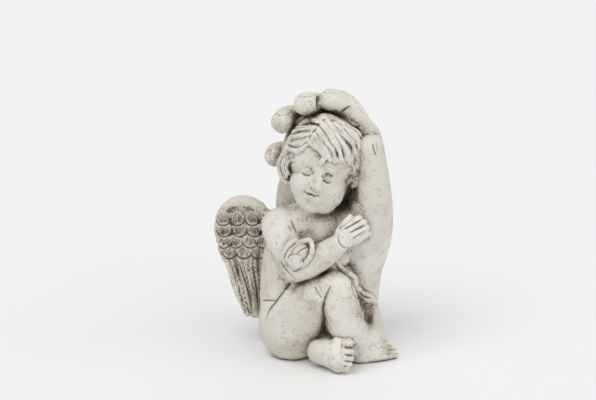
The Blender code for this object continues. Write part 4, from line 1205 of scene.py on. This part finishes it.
class Nodes:
    """Makes and joins the nodes of one material."""

    def __init__(self, material):
        self.tree = material.node_tree

    def make(self, kind, inputs=None, **settings):
        node = self.tree.nodes.new(kind)
        for name, value in settings.items():
            setattr(node, name, value)
        for name, value in (inputs or {}).items():
            socket = node.inputs[name]
            if isinstance(value, bpy.types.NodeSocket):
                self.tree.links.new(value, socket)
            else:
                socket.default_value = value
        return node

    def math(self, operation, a, b=0.0):
        return self.make("ShaderNodeMath", {0: a, 1: b}, operation=operation).outputs[0]

    def mix(self, share, a, b):
        node = self.make("ShaderNodeMix", {0: share, 6: a, 7: b}, data_type="RGBA")
        return node.outputs[2]

    def centred(self, value, size):
        return self.math("MULTIPLY", self.math("SUBTRACT", value, 0.5), size)

    def layer(self, under, share, strength, colour):
        return self.mix(self.math("MULTIPLY", share, strength), under, colour)

    def noise(self, place, scale, detail=3.0):
        inputs = {"Vector": place, "Scale": scale, "Detail": detail}
        return self.make("ShaderNodeTexNoise", inputs).outputs["Fac"]

    def range(self, value, low, high):
        inputs = {"Value": value, "From Min": low, "From Max": high}
        return self.make("ShaderNodeMapRange", inputs, interpolation_type="SMOOTHSTEP").outputs["Result"]

    def between(self, value, low, high):
        inputs = {"Value": value, "To Min": low, "To Max": high}
        return self.make("ShaderNodeMapRange", inputs).outputs["Result"]


ROOM_LIGHT = 0.46  # how strong the pale surround lights the statue
BACKDROP = 0.89  # and how bright it looks
FLOOR_REACH = 6.0  # metres each way
LAMPS = (
    ("key", (-0.45, -0.6, 1.2), 45, 1.35),
    ("fill", (0.9, -0.6, 0.75), 70, 0.9),
    ("behind", (0.2, 0.9, 1.0), 70, 0.35),
)  # name, place, spread in degrees, power
CLEAN = (0.665, 0.628, 0.555, 1)
WARM = (0.50, 0.452, 0.372, 1)
PALE = (0.77, 0.74, 0.675, 1)
BROWN = (0.25, 0.182, 0.105, 1)
STAIN_AND_SOME_SHADE = (0.17, 0.13, 0.09, 1)
DIRT_AND_DEEP_SHADE = (0.075, 0.055, 0.038, 1)


def stone():
    """Pale cast stone with brown stain in its recesses, stain and painted shade in its deep places and at the
    floor, mottling, grain and pores.
    """
    material = bpy.data.materials.new("cast_stone_fine")
    material.use_nodes = True
    nodes = Nodes(material)
    place = nodes.make("ShaderNodeTexCoord").outputs["Object"]
    recess = nodes.make("ShaderNodeAttribute", attribute_name="recess").outputs["Fac"]
    broad = nodes.noise(place, 22)
    blotch = nodes.noise(place, 95, 5)
    grain = nodes.noise(place, 900, 4)
    colour = nodes.mix(nodes.range(broad, 0.40, 0.66), CLEAN, PALE)
    colour = nodes.layer(colour, nodes.range(blotch, 0.52, 0.72), 0.45, WARM)
    colour = nodes.layer(colour, nodes.range(grain, 0.5, 0.75), 0.25, WARM)
    stain_and_shade = nodes.make("ShaderNodeAttribute", attribute_name="stain_and_shade").outputs["Fac"]
    speckle = nodes.noise(place, 480, 6)
    uneven = nodes.math("ADD", nodes.centred(blotch, 0.8), nodes.centred(speckle, 1.1))
    # Brown where stain and painted shade lie, broken up by mottling.
    stained_and_shaded = nodes.range(nodes.math("ADD", stain_and_shade, uneven), 0.08, 0.95)
    colour = nodes.layer(colour, stained_and_shaded, 0.86, BROWN)
    # Dark brown in the grooves' patina, with a little of the stain and painted shade.
    groove_stain_and_shade = nodes.math("ADD", recess, nodes.math("MULTIPLY", stain_and_shade, 0.3))
    groove_stain_and_shade = nodes.math("ADD", groove_stain_and_shade, nodes.math("MULTIPLY", uneven, 0.35))
    colour = nodes.layer(colour, nodes.range(groove_stain_and_shade, 0.10, 0.85), 0.75, STAIN_AND_SOME_SHADE)
    # Near black in grooves inside the stain and painted shade: painted deep shade.
    deep = nodes.math("MULTIPLY", recess, nodes.range(stain_and_shade, 0.1, 0.6))
    colour = nodes.layer(colour, nodes.range(deep, 0.15, 0.8), 0.6, DIRT_AND_DEEP_SHADE)
    # Near black where the stain and painted shade are strongest: mostly painted deep shade.
    deep_shade_and_stain = nodes.math("ADD", stain_and_shade, nodes.centred(blotch, 0.3))
    colour = nodes.layer(colour, nodes.range(deep_shade_and_stain, 0.55, 1.0), 0.75, DIRT_AND_DEEP_SHADE)
    pore = nodes.make("ShaderNodeTexVoronoi", {"Vector": place, "Scale": 250.0}).outputs["Distance"]
    sparse = nodes.range(nodes.noise(place, 45, 3), 0.50, 0.60)
    hole = nodes.math("MULTIPLY", nodes.math("SUBTRACT", 1.0, nodes.range(pore, 0.07, 0.2)), sparse)
    colour = nodes.layer(colour, hole, 0.75, DIRT_AND_DEEP_SHADE)
    surface = material.node_tree.nodes["Principled BSDF"]
    material.node_tree.links.new(colour, surface.inputs["Base Color"])
    material.node_tree.links.new(nodes.between(grain, 0.74, 0.95), surface.inputs["Roughness"])
    surface.inputs["Specular IOR Level"].default_value = 0.35
    height = nodes.math("SUBTRACT", nodes.math("MULTIPLY", grain, 0.5), nodes.math("MULTIPLY", hole, 1.5))
    height = nodes.math("ADD", height, nodes.math("MULTIPLY", blotch, 0.5))
    height = nodes.math("ADD", height, nodes.math("MULTIPLY", speckle, 0.35))
    bump = nodes.make("ShaderNodeBump", {"Height": height, "Strength": 0.55, "Distance": 0.0006})
    material.node_tree.links.new(bump.outputs["Normal"], surface.inputs["Normal"])
    return material


def plain(name, colour, roughness):
    """A plain material."""
    material = bpy.data.materials.new(name)
    material.use_nodes = True
    surface = material.node_tree.nodes["Principled BSDF"]
    surface.inputs["Base Color"].default_value = colour
    surface.inputs["Roughness"].default_value = roughness
    return material


def studio():
    """A plain pale floor, soft lights and a pale surround."""
    mesh = bpy.data.meshes.new("floor")
    corners = [(x * FLOOR_REACH, y * FLOOR_REACH, 0) for x, y in ((-1, -1), (1, -1), (1, 1), (-1, 1))]
    mesh.from_pydata(corners, [], [(0, 1, 2, 3)])
    mesh.materials.append(plain("studio_floor", (0.87, 0.87, 0.87, 1), 0.9))
    floor = placed("floor", mesh)
    world = bpy.data.worlds.new("surround")
    world.use_nodes = True
    nodes = Nodes(world)
    sight = nodes.make("ShaderNodeLightPath").outputs["Is Camera Ray"]
    background = world.node_tree.nodes["Background"]
    world.node_tree.links.new(nodes.between(sight, ROOM_LIGHT, BACKDROP), background.inputs["Strength"])
    background.inputs["Color"].default_value = (1.0, 1.0, 1.0, 1)
    bpy.context.scene.world = world
    for name, place, spread, power in LAMPS:
        light = bpy.data.lights.new(name, "SUN")
        light.angle, light.energy = math.radians(spread), power
        lamp = placed(name, light)
        lamp.location = place
        toward = Vector((0, 0, HEIGHT / 2)) - Vector(place)
        lamp.rotation_euler = toward.to_track_quat("-Z", "Y").to_euler()
    bpy.context.scene.view_settings.view_transform = "Standard"


def camera():
    """The photograph's camera."""
    sight, _, middle = map(Vector, view_axes())
    lens = bpy.data.cameras.new("camera")
    lens.lens = LENS
    eye = placed("camera", lens)
    eye.location = middle * UNIT - sight * VIEW_DISTANCE * UNIT
    eye.rotation_euler = sight.to_track_quat("-Z", "Y").to_euler()
    bpy.context.scene.camera = eye


def dress():
    """Puts the fine piece over the solid."""
    piece = fine_piece()
    piece.data.materials.clear()
    piece.data.materials.append(stone())
    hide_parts("angel_statue")
    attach(piece, "root")


camera()
dress()
studio()
